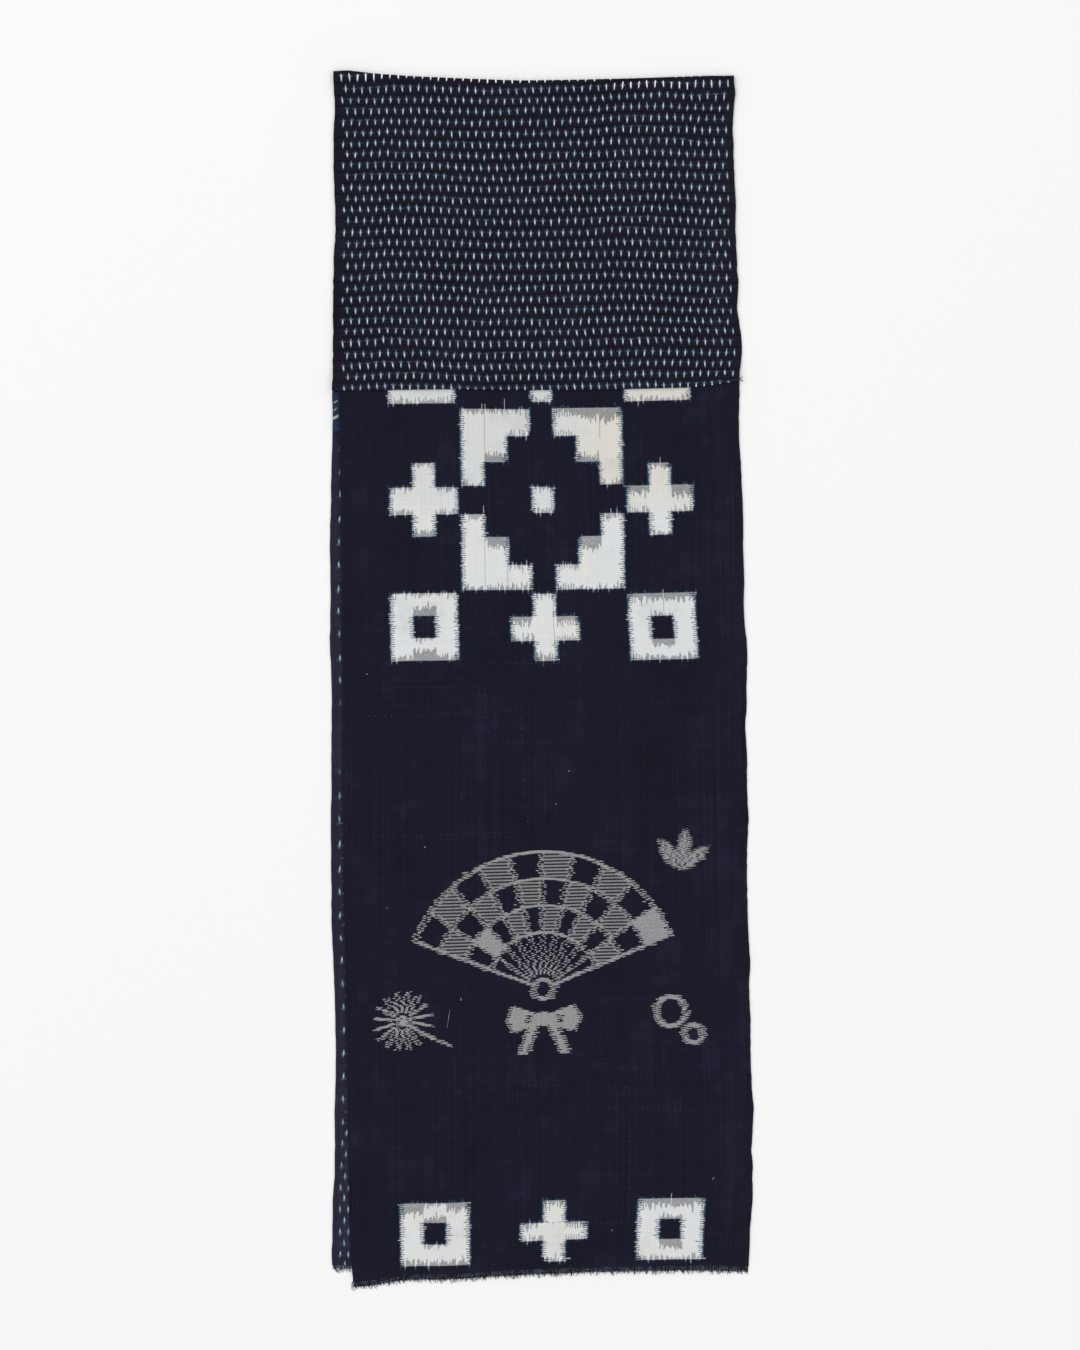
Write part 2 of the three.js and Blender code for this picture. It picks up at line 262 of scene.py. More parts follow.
front_long = Layer(FRONT_LONG_EDGES, seam_y, lambda x: fold_y(x) - FOLD_RADIUS)
back_long = Layer(BACK_EDGES, back_end_y, lambda x: fold_y(x) - FOLD_RADIUS)
block_layer = Layer(BLOCK_EDGES, front_end_y, lambda x: seam_y(x) + TUCK)


@dataclass(frozen=True)
class ScrapPlace:
    """Where the blue scrap lies on the back layer, and how softly the front goes over it."""

    left: float = -183.0
    right: float = -155.0
    high: float = 252.6
    low: float = 217.6
    inset: float = 0.4
    ease: float = 22.0
    rim: float = 3.0

    def lift(self, x: Values, y: Values) -> Values:
        """How much the scrap lifts what lies on it.

        Args:
            x: places across.
            y: places along.

        Returns:
            The heights.
        """
        out_x = np.maximum(np.maximum(self.left - x, x - self.right), 0)
        out_y = np.maximum(np.maximum(self.low - y, y - self.high), 0)
        return LAYER * (1 - ease(np.hypot(out_x, out_y), self.rim, self.rim + self.ease))


SCRAP = ScrapPlace()


def swell(x: Values, y: Values) -> Values:
    """Height of the soft swells over a place.

    Args:
        x: places across.
        y: places along.

    Returns:
        The heights.
    """
    total = np.zeros(np.broadcast(x, y).shape)
    for s in SWELLS:
        turn = math.radians(s.turn)
        along = ((x - s.x) * math.cos(turn) + (y - s.y) * math.sin(turn)) / s.along
        across = ((y - s.y) * math.cos(turn) - (x - s.x) * math.sin(turn)) / s.across
        total = total + s.height * np.exp(-SWELL_FALL * (along**2 + across**2))
    return total


def front_underside(x: Values, y: Values) -> Values:
    """Underside of the front's lower layer: on the back layer, and down to the floor past its edges.

    Args:
        x: places across.
        y: places along.

    Returns:
        The heights.
    """
    past = np.maximum(x - back_right(y), back_end_y(x) - FRAY_REACH - y)
    drop = (LAYER - FLOOR_CLEARANCE) * ease(past, DROP_START, DROP_START + DROP_LENGTH)
    return LAYER - drop + SCRAP.lift(x, y) + swell(x, y)


def long_underside(x: Values, y: Values) -> Values:
    """Underside of the long cloth on the front, which climbs over the tucked end and up to the fold.

    Args:
        x: places across.
        y: places along.

    Returns:
        The heights.
    """
    lap_end = TUCK + LAP_START
    lap = 1 - ease(y - seam_y(x), lap_end, lap_end + LAP_EASE)
    crest = fold_y(x) - FOLD_RADIUS
    near_fold = ease(y, crest - FOLD_EASE, crest)
    return front_underside(x, y) * (1 - near_fold) + 2 * FOLD_RADIUS * near_fold + LAYER * lap


def math_method(operation: str, turned: bool = False) -> Callable[..., "Wire"]:
    """Makes a method of Wire.

    Args:
        operation: the Math node that the method adds.
        turned: whether the other value comes first.

    Returns:
        The method.
    """

    def method(wire: "Wire", *others: "Wire | float") -> "Wire":
        """Adds the node and gives its result."""
        return wire.tree.math(operation, *((*others, wire) if turned else (wire, *others)))

    return method


class Wire:
    """A number or a vector on its way through a node tree, with arithmetic."""

    __add__ = math_method("ADD")
    __radd__ = math_method("ADD", turned=True)
    __sub__ = math_method("SUBTRACT")
    __rsub__ = math_method("SUBTRACT", turned=True)
    __mul__ = math_method("MULTIPLY")
    __truediv__ = math_method("DIVIDE")
    __abs__ = math_method("ABSOLUTE")
    floor = math_method("FLOOR")
    fraction = math_method("FRACT")
    sine = math_method("SINE")
    power = math_method("POWER")
    least = math_method("MINIMUM")
    most = math_method("MAXIMUM")
    below = math_method("LESS_THAN")
    above = math_method("GREATER_THAN")

    def __init__(self, tree: "NodeTree", socket: NodeSocket) -> None:
        """Holds an output socket and the tree that it is in."""
        self.tree = tree
        self.socket = socket

    def odd(self) -> "Wire":
        """1 for an odd whole number and 0 for an even one."""
        return (self / 2).fraction().above(0.25)


Plug = Wire | float | Sequence[float]


class NodeTree:
    """Writes nodes into a material's tree or a shader group."""

    def __init__(self, tree: ShaderTree) -> None:
        """Takes the Blender tree to write into."""
        self.tree = tree

    def node(self, kind: str, **settings: object) -> Node:
        """Adds a node and sets its plain properties.

        Args:
            kind: the node's type.
            settings: its plain properties.

        Returns:
            The node.
        """
        made = self.tree.nodes.new(kind)
        for name, value in settings.items():
            setattr(made, name, value)
        return made

    def plug(self, socket: NodeSocket, value: Plug) -> None:
        """Links a wire to a socket, or writes a number, vector or colour on it.

        Args:
            socket: the socket to fill.
            value: what goes in.
        """
        if isinstance(value, Wire):
            self.tree.links.new(value.socket, socket)
        elif isinstance(value, (int, float)):
            socket.default_value = float(value)
        elif socket.type == "RGBA":
            socket.default_value = (*value, 1.0)
        else:
            socket.default_value = tuple(value)

    def fill(self, kind: str, sockets: dict[int | str, Plug], out: int | str = 0, **settings: object) -> Wire:
        """Adds a node and fills some of its sockets.

        Args:
            kind: the node's type.
            sockets: values by the sockets' places or names.
            out: place or name of the output to give.
            settings: the node's plain properties.

        Returns:
            The output.
        """
        made = self.node(kind, **settings)
        for place, value in sockets.items():
            self.plug(made.inputs[place], value)
        return Wire(self, made.outputs[out])

    def math(self, operation: str, *values: Wire | float) -> Wire:
        """Adds a Math node."""
        return self.fill("ShaderNodeMath", dict(enumerate(values)), operation=operation)

    def combine(self, operation: str, *values: Plug) -> Wire:
        """Adds a Vector Math node."""
        return self.fill("ShaderNodeVectorMath", dict(enumerate(values)), operation=operation)

    def step(self, value: Wire, low: float, high: float) -> Wire:
        """Adds a smooth rise from 0 at low to 1 at high."""
        sockets = {"Value": value, "From Min": low, "From Max": high}
        return self.fill("ShaderNodeMapRange", sockets, "Result", interpolation_type="SMOOTHSTEP")

    def blend(self, share: Plug, a: Plug, b: Plug) -> Wire:
        """Adds a mix of two numbers."""
        return self.fill("ShaderNodeMix", {0: share, 2: a, 3: b}, data_type="FLOAT")

    def tint(self, share: Plug, a: Plug, b: Plug) -> Wire:
        """Adds a mix of two colours."""
        return self.fill("ShaderNodeMix", {0: share, 6: a, 7: b}, 2, data_type="RGBA")

    def scaled(self, colour: Plug, amount: Wire) -> Wire:
        """Adds a node that makes a colour lighter or darker."""
        return self.fill("ShaderNodeVectorMath", {0: colour, "Scale": amount}, operation="SCALE")

    def vector(self, x: Plug, y: Plug, z: Plug = 0.0) -> Wire:
        """Adds a vector made of three numbers."""
        return self.fill("ShaderNodeCombineXYZ", {0: x, 1: y, 2: z})

    def parts(self, vector: Wire) -> list[Wire]:
        """Adds a node that takes a vector apart."""
        first = self.fill("ShaderNodeSeparateXYZ", {0: vector})
        return [Wire(self, socket) for socket in first.socket.node.outputs]

    def under(self, value: Wire, limit: float) -> Wire:
        """1 under a limit, with a soft edge."""
        return 1 - self.step(value - limit, -SOFT_EDGE, SOFT_EDGE)

    def reach(self, x: Wire, y: Wire) -> Wire:
        """Distance from the origin."""
        return (x * x + y * y).power(0.5)

    def chance(self, x: Plug, y: Plug = 0.0, seed: float = 0.0) -> Wire:
        """Adds an uneven number from 0 to 1 for a cell of whole numbers."""
        place = self.vector(x, y, seed + 0.5)
        return self.fill("ShaderNodeTexWhiteNoise", {"Vector": place}, "Value", noise_dimensions="3D")

    def noise(self, place: Wire, scale: float, detail: float = 2.0, rough: float = 0.5) -> Wire:
        """Adds soft noise around 0.5."""
        sockets = {"Vector": place, "Scale": scale, "Detail": detail, "Roughness": rough}
        return self.fill("ShaderNodeTexNoise", sockets, "Fac", noise_dimensions="3D")

    def use(self, group: ShaderTree, **inputs: Plug) -> dict[str, Wire]:
        """Adds a shader group.

        Args:
            group: the group's tree.
            inputs: a value for each named input, with _ for each space.

        Returns:
            The group's outputs by name.
        """
        made = self.node("ShaderNodeGroup")
        made.node_tree = group
        for name, value in inputs.items():
            self.plug(made.inputs[name.replace("_", " ")], value)
        return {socket.name: Wire(self, socket) for socket in made.outputs}


class GroupTree(NodeTree):
    """A shader group under construction."""

    def __init__(self, name: str, inputs: Sequence[str], outputs: Sequence[str]) -> None:
        """Makes an empty group.

        Args:
            name: the group's name.
            inputs: names of its number inputs.
            outputs: names of its outputs; one that ends in Colour gives a colour.
        """
        super().__init__(bpy.data.node_groups.new(name, "ShaderNodeTree"))
        for title in inputs:
            self.tree.interface.new_socket(title, in_out="INPUT", socket_type="NodeSocketFloat")
        for title in outputs:
            kind = "NodeSocketColor" if title.endswith("Colour") else "NodeSocketFloat"
            self.tree.interface.new_socket(title, in_out="OUTPUT", socket_type=kind)
        self.entry = self.node("NodeGroupInput")
        self.exit = self.node("NodeGroupOutput")

    def take(self, name: str) -> Wire:
        """Reads one of the group's inputs."""
        return Wire(self, self.entry.outputs[name])

    def give(self, **outputs: Plug) -> ShaderTree:
        """Sets the group's outputs and returns its tree.

        Args:
            outputs: values by the outputs' names.

        Returns:
            The group's tree.
        """
        for name, value in outputs.items():
            self.plug(self.exit.inputs[name.replace("_", " ")], value)
        return self.tree


class MotifKind(Enum):
    """The woven block motifs, each three cells wide."""

    SQUARE = "one cell"
    HOLED_SQUARE = "a square with an open middle cell"
    CROSS = "a cross of five cells"
    BRACKET = "a corner bracket with a cell inside it"


@dataclass(frozen=True)
class Motif:
    """A block motif on the cloth: its centre, its cells' size, and which way a bracket opens."""

    kind: MotifKind
    x: float
    y: float
    cell_x: float
    cell_y: float
    upper: float = 1 / 3
    lower: float = 1 / 3
    open_x: int = 1
    open_y: int = 1

    def blocks(self) -> list[tuple[float, float, float, float, bool]]:
        """Cuts the motif into rectangles.

        Returns:
            Each one's centre x and y, half width, half height, and whether it is cut out.
        """
        wide, high = self.cell_x / 2, self.cell_y / 2
        top, bottom = self.y + 3 * high, self.y - 3 * high
        high_edge = top - self.upper * 6 * high
        low_edge = bottom + self.lower * 6 * high
        middle, thick = (high_edge + low_edge) / 2, (high_edge - low_edge) / 2
        if self.kind is MotifKind.SQUARE:
            return [(self.x, self.y, wide, high, False)]
        if self.kind is MotifKind.CROSS:
            return [(self.x, self.y, wide, 3 * high, False), (self.x, middle, 3 * wide, thick, False)]
        if self.kind is MotifKind.HOLED_SQUARE:
            return [(self.x, self.y, 3 * wide, 3 * high, False), (self.x, middle, wide, thick, True)]
        side = self.x - self.open_x * self.cell_x
        corner = self.x - self.open_x * wide
        if self.open_y < 0:
            end, end_row, inner_row = top, high_edge, low_edge
        else:
            end, end_row, inner_row = bottom, low_edge, high_edge
        return [
            (side, self.y, wide, 3 * high, False),
            (self.x, (end + end_row) / 2, 3 * wide, abs(end - end_row) / 2, False),
            (corner, (end + inner_row) / 2, 2 * wide, abs(end - inner_row) / 2, False),
        ]


CENTRE = 1.7
INNER = 40.7
OUTER = 104.8

MOTIFS = (
    Motif(MotifKind.HOLED_SQUARE, CENTRE - OUTER - 1.1, 790.0, 19.8, 19.4),
    Motif(MotifKind.CROSS, CENTRE + 0.2, 792.0, 19.5, 19.6),
    Motif(MotifKind.HOLED_SQUARE, CENTRE + OUTER - 1.4, 791.5, 19.5, 19.6),
    Motif(MotifKind.BRACKET, CENTRE - INNER - 0.4, 722.3, 20.4, 22.4, 0.35, 0.31, 1, -1),
    Motif(MotifKind.BRACKET, CENTRE + INNER, 723.0, 20.4, 22.5, 0.36, 0.3, -1, -1),
    Motif(MotifKind.CROSS, CENTRE - OUTER - 0.5, 676.6, 20.1, 21.4, 0.33, 0.3),
    Motif(MotifKind.SQUARE, CENTRE + 0.2, 676.4, 19.5, 23.0),
    Motif(MotifKind.CROSS, CENTRE + OUTER - 0.8, 675.6, 19.5, 21.1, 0.31, 0.32),
    Motif(MotifKind.BRACKET, CENTRE - INNER - 0.4, 630.5, 20.7, 22.1, 0.3, 0.33, 1, 1),
    Motif(MotifKind.BRACKET, CENTRE + INNER + 0.6, 630.5, 20.1, 22.2, 0.3, 0.33, -1, 1),
    Motif(MotifKind.HOLED_SQUARE, CENTRE - OUTER - 1.4, 565.6, 19.8, 19.6),
    Motif(MotifKind.CROSS, CENTRE + 0.3, 564.2, 20.0, 19.7, 0.34, 0.3),
    Motif(MotifKind.HOLED_SQUARE, CENTRE + OUTER - 0.7, 563.2, 19.7, 19.5, 0.34, 0.31),
    Motif(MotifKind.HOLED_SQUARE, CENTRE - OUTER + 1.1, 34.8, 20.4, 18.2, 0.31, 0.34),
    Motif(MotifKind.CROSS, CENTRE + 2.0, 33.0, 19.6, 17.9, 0.36, 0.35),
    Motif(MotifKind.HOLED_SQUARE, CENTRE + OUTER + 0.2, 32.3, 19.5, 17.9),
)


class WarpGap(NamedTuple):
    """A part of a motif where the warp stayed dark and only the weft is white: centre and half sizes."""

    x: float
    y: float
    wide: float
    high: float


WARP_GAPS = tuple(WarpGap(*row) for row in (
    (-38.7, 712.3, 10.6, 4.4), (-60.2, 688.7, 10.3, 2), (-38.3, 756.8, 30.8, 2.9),
    (-103.1, 645.8, 10.6, 3.3), (-124.5, 688.1, 10.8, 2.9), (-81.5, 687.5, 9.9, 2.9),
    (-38.5, 641.2, 9.2, 6.2), (-38.4, 598, 31.2, 2.4), (22.5, 756, 10.1, 4.6), (42.9, 754.9, 10.1, 5.5),
    (64.7, 753.3, 11.4, 6.7), (42.5, 711.1, 9.7, 4.5), (105.9, 707.1, 11, 3.5), (85.2, 686, 11.2, 4.9),
    (127.8, 684.3, 11.7, 6.4), (2.6, 688.9, 11, 2.4), (64.6, 664.2, 10.6, 3.3), (42.6, 641.3, 10.6, 7),
    (43.9, 597, 31.2, 2.4), (-103.7, 578.5, 10.2, 4.2), (-104.7, 539.6, 10.2, 5.5),
    (-83.8, 536.7, 10.7, 2.9), (-19.6, 572.2, 10.8, 4.8), (23.7, 572, 11.2, 4.4), (0.3, 535.5, 11, 3.5),
    (106.7, 590.9, 32.1, 4.2), (105.5, 550.2, 10.1, 3.5), (104, 533.9, 32.1, 3.1),
    (-122.9, 58.4, 10.8, 6.6), (-80.5, 59.9, 11.2, 5.1), (-102, 47.1, 10.1, 2.4),
    (-102.4, 7.1, 32.1, 3.5), (3.6, 59.7, 11, 3.7), (-17.3, 41.8, 11, 4), (25.3, 40.3, 11, 3.7),
    (106, 57.4, 31.2, 4.4), (107.2, 42.4, 10.1, 2.2), (107.9, 19.9, 10.1, 3.5),
))


class WarpSpike(NamedTuple):
    """A thin white warp that runs on past a motif, or a dark one that runs through it."""

    x: float
    low: float
    high: float
    white: bool


SPIKE_CORE = 0.2
SPIKE_EDGE = 0.42
SPIKE_FADE = 1.0

WARP_SPIKES = tuple(WarpSpike(*row) for row in (
    (-50.8, 752.0, 761.0, True), (-48.0, 752.0, 761.0, True), (-30.7, 750.0, 765.5, True),
    (-50.9, 660.0, 671.6, True), (106.4, 700.0, 712.5, True), (62.0, 658.0, 668.5, True),
    (107.2, 583.0, 596.1, True), (101.9, 531.0, 543.3, True), (106.6, 51.0, 64.1, True),
    (-48.9, 688.0, 757.5, False), (-50.1, 598.0, 663.0, False), (-30.1, 599.0, 624.0, False),
    (9.8, 537.0, 594.0, False), (107.5, 575.7, 586.3, False), (53.3, 729.0, 751.0, False),
))


@dataclass(frozen=True)
class WeaveSizes:
    """Sizes of the plain weave and of the bundles that slip when the tied yarn is wound, in millimetres."""

    pitch: float = 0.55
    wander: float = 0.5
    wander_cell: float = 11.0
    warp_bundle: float = 1.15
    weft_bundle: float = 0.98
    warp_reach: float = 4.4
    weft_reach: float = 2.5
    warp_spread: float = 5.8
    weft_spread: float = 1.8
    warp_comb: float = 1.4
    weft_comb: float = 3.0
    warp_thread_reach: float = 1.2
    weft_thread_reach: float = 0.8
    warp_trim: float = 2.0
    weft_trim: float = 1.35
    drift_length: float = 30.0
    drift_step: float = 5.31
    drift_share: float = 2.0
    own_share: float = 1.1
    uneven_cell: float = 3.0
    uneven_share: float = 0.8
    crown: float = 0.65


@dataclass(frozen=True)
class CrossPattern:
    """Sizes of the small woven crosses, in millimetres from the left selvedge and from the hem."""

    column_pitch: float = 7.19
    row_pitch: float = 9.77
    first_column: float = 7.0
    stagger: float = 3.6
    first_row: float = 0.5
    edge_band: float = 4.6
    bar_half_width: float = 0.42
    bar_half_height: float = 3.0
    bar_ragged: float = 1.5
    bar_lean: float = 0.24
    bar_dullest: float = 0.62
    core_rise: float = 0.3
    core_start: float = 0.5
    core_end: float = 2.3
    arm_slide: float = 7.5
    arm_slide_across: float = 60.0
    arm_slide_along: float = 26.0
    arm_slide_middle: float = 0.42
    arm_half_width: float = 2.3
    arm_half_height: float = 0.65
    arm_jitter: float = 0.7
    arm_bow: float = 0.12
    arm_dullest: float = 0.5
    wave: float = 2.6
    wave_length: float = 46.0
    wave_height: float = 34.0
    sway: float = 1.6
    sway_across: float = 30.0
    sway_along: float = 22.0
    column_jitter: float = 0.8
    bar_jitter: float = 0.9
    # The line sizes below shape the groove between rows, which gets a bump and painted shade in the material.
    line_rise: float = 0.05
    line_drift: float = 0.5
    line_core: float = 0.03
    line_edge: float = 0.13


@dataclass(frozen=True)
class FanPicture:
    """A generic woven picture in the place of the photo's own: an open fan with small plants beside it."""

    x: float = -3.3
    y: float = 286.0
    pivot_y: float = -40.0
    half_angle: float = 68.0
    outer: float = 121.0
    inner: float = 50.0
    panels: int = 10
    rings: int = 3
    stroke: float = 1.25
    stripe_pitch: float = 2.9
    stripe: float = 0.62
    solid_share: float = 0.24
    guard_start: float = 10.0
    rib_start: float = 13.0
    knot: float = 8.5
    knot_stroke: float = 1.7


@dataclass(frozen=True)
class Bow:
    """The bow under the fan: its place from the fan's middle, its wings and its tails."""

    drop: float = 66.0
    wing_reach: float = 33.0
    wing_half: float = 2.5
    wing_slope: float = 0.36
    crease_x: float = 14.0
    crease_slope: float = 0.4
    crease_half: float = 0.9
    crease_reach: float = 3.5
    tie: float = 6.5
    tail_x: float = 6.0
    tail_drop: float = 16.0
    tail_slope: float = 0.42
    tail_half: float = 4.2
    tail_reach: float = 15.0


@dataclass(frozen=True)
class Sprig:
    """The round pine sprig at the lower left: its place from the fan's middle, its needles and its twig."""

    left: float = 124.0
    drop: float = 64.0
    needle_turn: float = 22.5
    needle_half: float = 1.15
    needle_start: float = 7.0
    needle_end: float = 26.0
    heart: float = 5.0
    twig_slope: float = 0.5
    twig_drop: float = 2.0
    twig_half: float = 1.2
    twig_x: float = 20.0
    twig_reach: float = 22.0


class Leaf(NamedTuple):
    """A leaf of the spray at the upper right: its turn in degrees and how far out it is moved."""

    turn: float
    out: float


@dataclass(frozen=True)
class Spray:
    """The leaves at the upper right: the spray's place from the fan's middle and a leaf's measures."""

    x: float = 122.0
    y: float = 62.0
    far: float = 16.0
    half_width: float = 5.2
    half_length: float = 16.0
    vein_half: float = 0.6
    vein_reach: float = 11.0
    leaves: tuple[Leaf, ...] = (Leaf(-50.0, 0.0), Leaf(-8.0, 5.0), Leaf(34.0, 2.0))


class Ring(NamedTuple):
    """A ring at the lower right: its centre from the fan's middle, its radius and half its stroke."""

    x: float
    y: float
    size: float
    half_stroke: float


RINGS = (Ring(112.0, -62.0, 13.0, 2.0), Ring(132.0, -82.0, 8.0, 2.0))


@dataclass(frozen=True)
class DyeStreaks:
    """Sizes in millimetres and shares of the indigo's streaks, soft patches and worn places."""

    warp_width: float = 1.6
    warp_length: float = 260.0
    weft_width: float = 1.5
    weft_length: float = 190.0
    weft_share: float = 0.6
    patch_cell: float = 70.0
    patch_share: float = 0.6
    thread_share: float = 0.3
    wear_cell: float = 26.0
    wear_low: float = 0.48
    wear_high: float = 0.74
    wear_rough: float = 0.62
    side_start: float = 120.0
    side_end: float = 170.0
    side_streak: float = 0.9
    side_lift: float = 0.14


WEAVE = WeaveSizes()
DYE = DyeStreaks()
CROSSES = CrossPattern()
FAN = FanPicture()
BOW = Bow()
SPRIG = Sprig()
SPRAY = Spray()


class Patterns:
    """The shader groups that the cloths' materials share."""

    def __init__(self) -> None:
        """Builds every group."""
        self.weave = self.build_weave()
        self.scatter = self.build_scatter()
        self.dye = self.build_dye()
        self.crosses = self.build_crosses()
        self.motifs = self.build_motifs()
        self.spikes = self.build_spikes()
        self.picture = self.build_picture()

    def build_weave(self) -> ShaderTree:
        """Plain weave: which thread is on top, its height and its own shade.

        Returns:
            The group's tree.
        """
        inputs = ("Across", "Along")
        group = GroupTree("plain_weave", inputs, ("Warp Top", "Height", "Shade"))
        across, along = group.take("Across"), group.take("Along")
        place = group.vector(across, along)
        wander = group.noise(place, 1 / WEAVE.wander_cell, 1.0) - 0.5
        warp_place = (across + wander * WEAVE.wander) / WEAVE.pitch
        weft_place = (along - wander * WEAVE.wander) / WEAVE.pitch
        warp, weft = warp_place.floor(), weft_place.floor()
        warp_round = (warp_place.fraction() * math.pi).sine()
        weft_round = (weft_place.fraction() * math.pi).sine()
        warp_top = (warp + weft).odd()
        warp_height = warp_round * (weft_round * WEAVE.crown + (1 - WEAVE.crown))
        weft_height = weft_round * (warp_round * WEAVE.crown + (1 - WEAVE.crown))
        shade = group.blend(warp_top, group.chance(weft, 0.0, 2), group.chance(warp, 0.0, 1))
        return group.give(
            Warp_Top=warp_top,
            Height=group.blend(warp_top, weft_height, warp_height),
            Shade=shade,
        )

    def build_scatter(self) -> ShaderTree:
        """How far the tied yarn has slipped at a place: warps along the cloth, wefts across it.

        Returns:
            The group's tree.
        """
        group = GroupTree("yarn_slip", ("Across", "Along"), ("Warp Slip", "Weft Slip"))
        across, along = group.take("Across"), group.take("Along")
        uneven = group.noise(group.vector(across, along), 1 / WEAVE.uneven_cell, 0.0) - 0.5

        def slip(side: Wire, run: Wire, bundle: float, reach: float, spread: float, comb: float,
                 fine: float, seed: float) -> Wire:
            """Slip of the yarns counted along one side and running along the other.

            Args:
                side: the side that the yarns are counted along.
                run: the side that they run along.
                bundle: width of a bundle of yarns.
                reach: how far a bundle slips.
                spread: how unevenly the bundles start.
                comb: how far every second bundle stands out.
                fine: how far single yarns stand out.
                seed: a number of its own.

            Returns:
                The slip in millimetres.
            """
            number = (side / bundle + uneven * WEAVE.uneven_share).floor()
            place = group.vector(number * WEAVE.drift_step, run / WEAVE.drift_length, seed)
            drift = group.noise(place, 1.0, 0.0) - 0.5
            own = group.chance(number, 0.0, seed) - 0.5
            turn = own * WEAVE.own_share + drift * WEAVE.drift_share
            teeth = number.odd() - 0.5
            thread = (side / WEAVE.pitch).floor()
            ragged = (group.chance(thread, 1.0, seed) - 0.5) * fine
            even = (group.chance(number, 2.0, seed) - 0.5) * spread
            return turn * abs(turn) * reach + even + teeth * comb + ragged

        warp = slip(across, along, WEAVE.warp_bundle, WEAVE.warp_reach, WEAVE.warp_spread,
                    WEAVE.warp_comb, WEAVE.warp_thread_reach, 4)
        weft = slip(along, across, WEAVE.weft_bundle, WEAVE.weft_reach, WEAVE.weft_spread,
                    WEAVE.weft_comb, WEAVE.weft_thread_reach, 9)
        return group.give(Warp_Slip=warp, Weft_Slip=weft)

    def build_dye(self) -> ShaderTree:
        """Depth of the indigo, around 1: streaks along the threads and soft worn patches.

        Returns:
            The group's tree.
        """
        group = GroupTree("indigo_depth", ("Across", "Along", "Shade"), ("Depth", "Wear"))
        across, along, shade = group.take("Across"), group.take("Along"), group.take("Shade")
        warps = group.vector(across / DYE.warp_width, along / DYE.warp_length, 1.0)
        warp_streak = group.noise(warps, 1.0, 3.0) - 0.5
        wefts = group.vector(across / DYE.weft_length, along / DYE.weft_width, 5.0)
        weft_streak = group.noise(wefts, 1.0, 3.0) - 0.5
        patches = group.noise(group.vector(across, along, 9.0), 1 / DYE.patch_cell, 3.0) - 0.5
        worn = group.noise(group.vector(across, along, 13.0), 1 / DYE.wear_cell, 5.0, DYE.wear_rough)
        wear = group.step(worn, DYE.wear_low, DYE.wear_high)
        side = group.step(across, DYE.side_start, DYE.side_end)
        streaks = warp_streak * (side * DYE.side_streak + DYE.side_streak) + weft_streak * DYE.weft_share
        own = (shade - 0.5) * DYE.thread_share
        depth = 1 + streaks + patches * DYE.patch_share + own + side * DYE.side_lift
        return group.give(Depth=depth, Wear=wear)

    def build_crosses(self) -> ShaderTree:
        """Small woven crosses: a bar of white warps and a short arm of white wefts, in staggered rows.

        Returns:
            The group's tree.
        """
        size = CROSSES
        outputs = ("Warp Tie", "Weft Tie", "Core", "Row Line")
        group = GroupTree("small_crosses", ("Across", "Along"), outputs)
        across, along = group.take("Across"), group.take("Along")
        from_edge = across + LONG_WIDTH / 2
        row_place = (along - size.first_row) / size.row_pitch
        row = (row_place + 0.5).floor()
        odd = row.odd()
        start = odd * size.stagger + size.first_column
        column = ((from_edge - start) / size.column_pitch + 0.5).floor()
        number = column * 2 + odd
        waves = group.vector(from_edge / size.wave_length, along / size.wave_height, 2.0)
        drift = group.noise(waves, 1.0, 1.0) - 0.5
        sways = group.vector(from_edge / size.sway_across, along / size.sway_along, 6.0)
        side_drift = group.noise(sways, 1.0, 1.0) - 0.5
        own = group.chance(number, row, 3) - 0.5
        shared = group.chance(number, 0.0, 5) - 0.5
        rise = drift * 2 * size.wave + shared * size.column_jitter + own * size.bar_jitter
        beside = from_edge - start - column * size.column_pitch + side_drift * size.sway
        over = (row_place - row) * size.row_pitch
        lean = (group.chance(number, row, 7) - 0.5) * size.bar_lean
        thread = ((across / WEAVE.pitch).floor() * 1.7 + row * 3.1).floor()
        ragged = (group.chance(thread, 0.0, 8) - 0.5) * size.bar_ragged
        bar_over = over - rise + ragged
        bar_beside = beside + bar_over * lean
        bar_wide = group.step(abs(bar_beside), size.bar_half_width - 0.3, size.bar_half_width + 0.5)
        bar_high = group.step(abs(bar_over), size.bar_half_height - 1.2, size.bar_half_height + 0.9)
        bar = (1 - bar_wide) * (1 - bar_high)
        core = 1 - group.step(abs(over - rise + size.core_rise), size.core_start, size.core_end)
        slides = group.vector(from_edge / size.arm_slide_across, along / size.arm_slide_along, 15.0)
        slide = group.noise(slides, 1.0, 1.0) - size.arm_slide_middle
        arm_rise = (group.chance(number, row, 11) - 0.5) * size.arm_jitter - slide * size.arm_slide
        bow = abs(beside) * size.arm_bow
        arm_wide = group.step(abs(beside), size.arm_half_width - 0.8, size.arm_half_width + 0.7)
        arm_over = abs(over + arm_rise - bow)
        arm_high = group.step(arm_over, size.arm_half_height - 0.4, size.arm_half_height + 0.4)
        arm = (1 - arm_wide) * (1 - arm_high)
        inside = group.step(from_edge, size.edge_band - 0.5, size.edge_band + 0.5) * column.above(-0.5)
        far_band = LONG_WIDTH - size.edge_band
        inside = inside * (1 - group.step(from_edge, far_band, far_band + 1))
        bright = size.bar_dullest + group.chance(number, row, 13) * (1 - size.bar_dullest)
        faint = size.arm_dullest + group.chance(number, row, 17) * (1 - size.arm_dullest)
        line = abs((row_place + rise * size.line_rise + drift * size.line_drift).fraction() - 0.5)
        return group.give(
            Warp_Tie=bar * inside * bright,
            Weft_Tie=arm * inside * faint,
            Core=core,
            # Row Line marks the groove between rows; the material lowers the bump there and darkens the
            # ground with painted shade.
            Row_Line=1 - group.step(line, size.line_core, size.line_edge),
        )

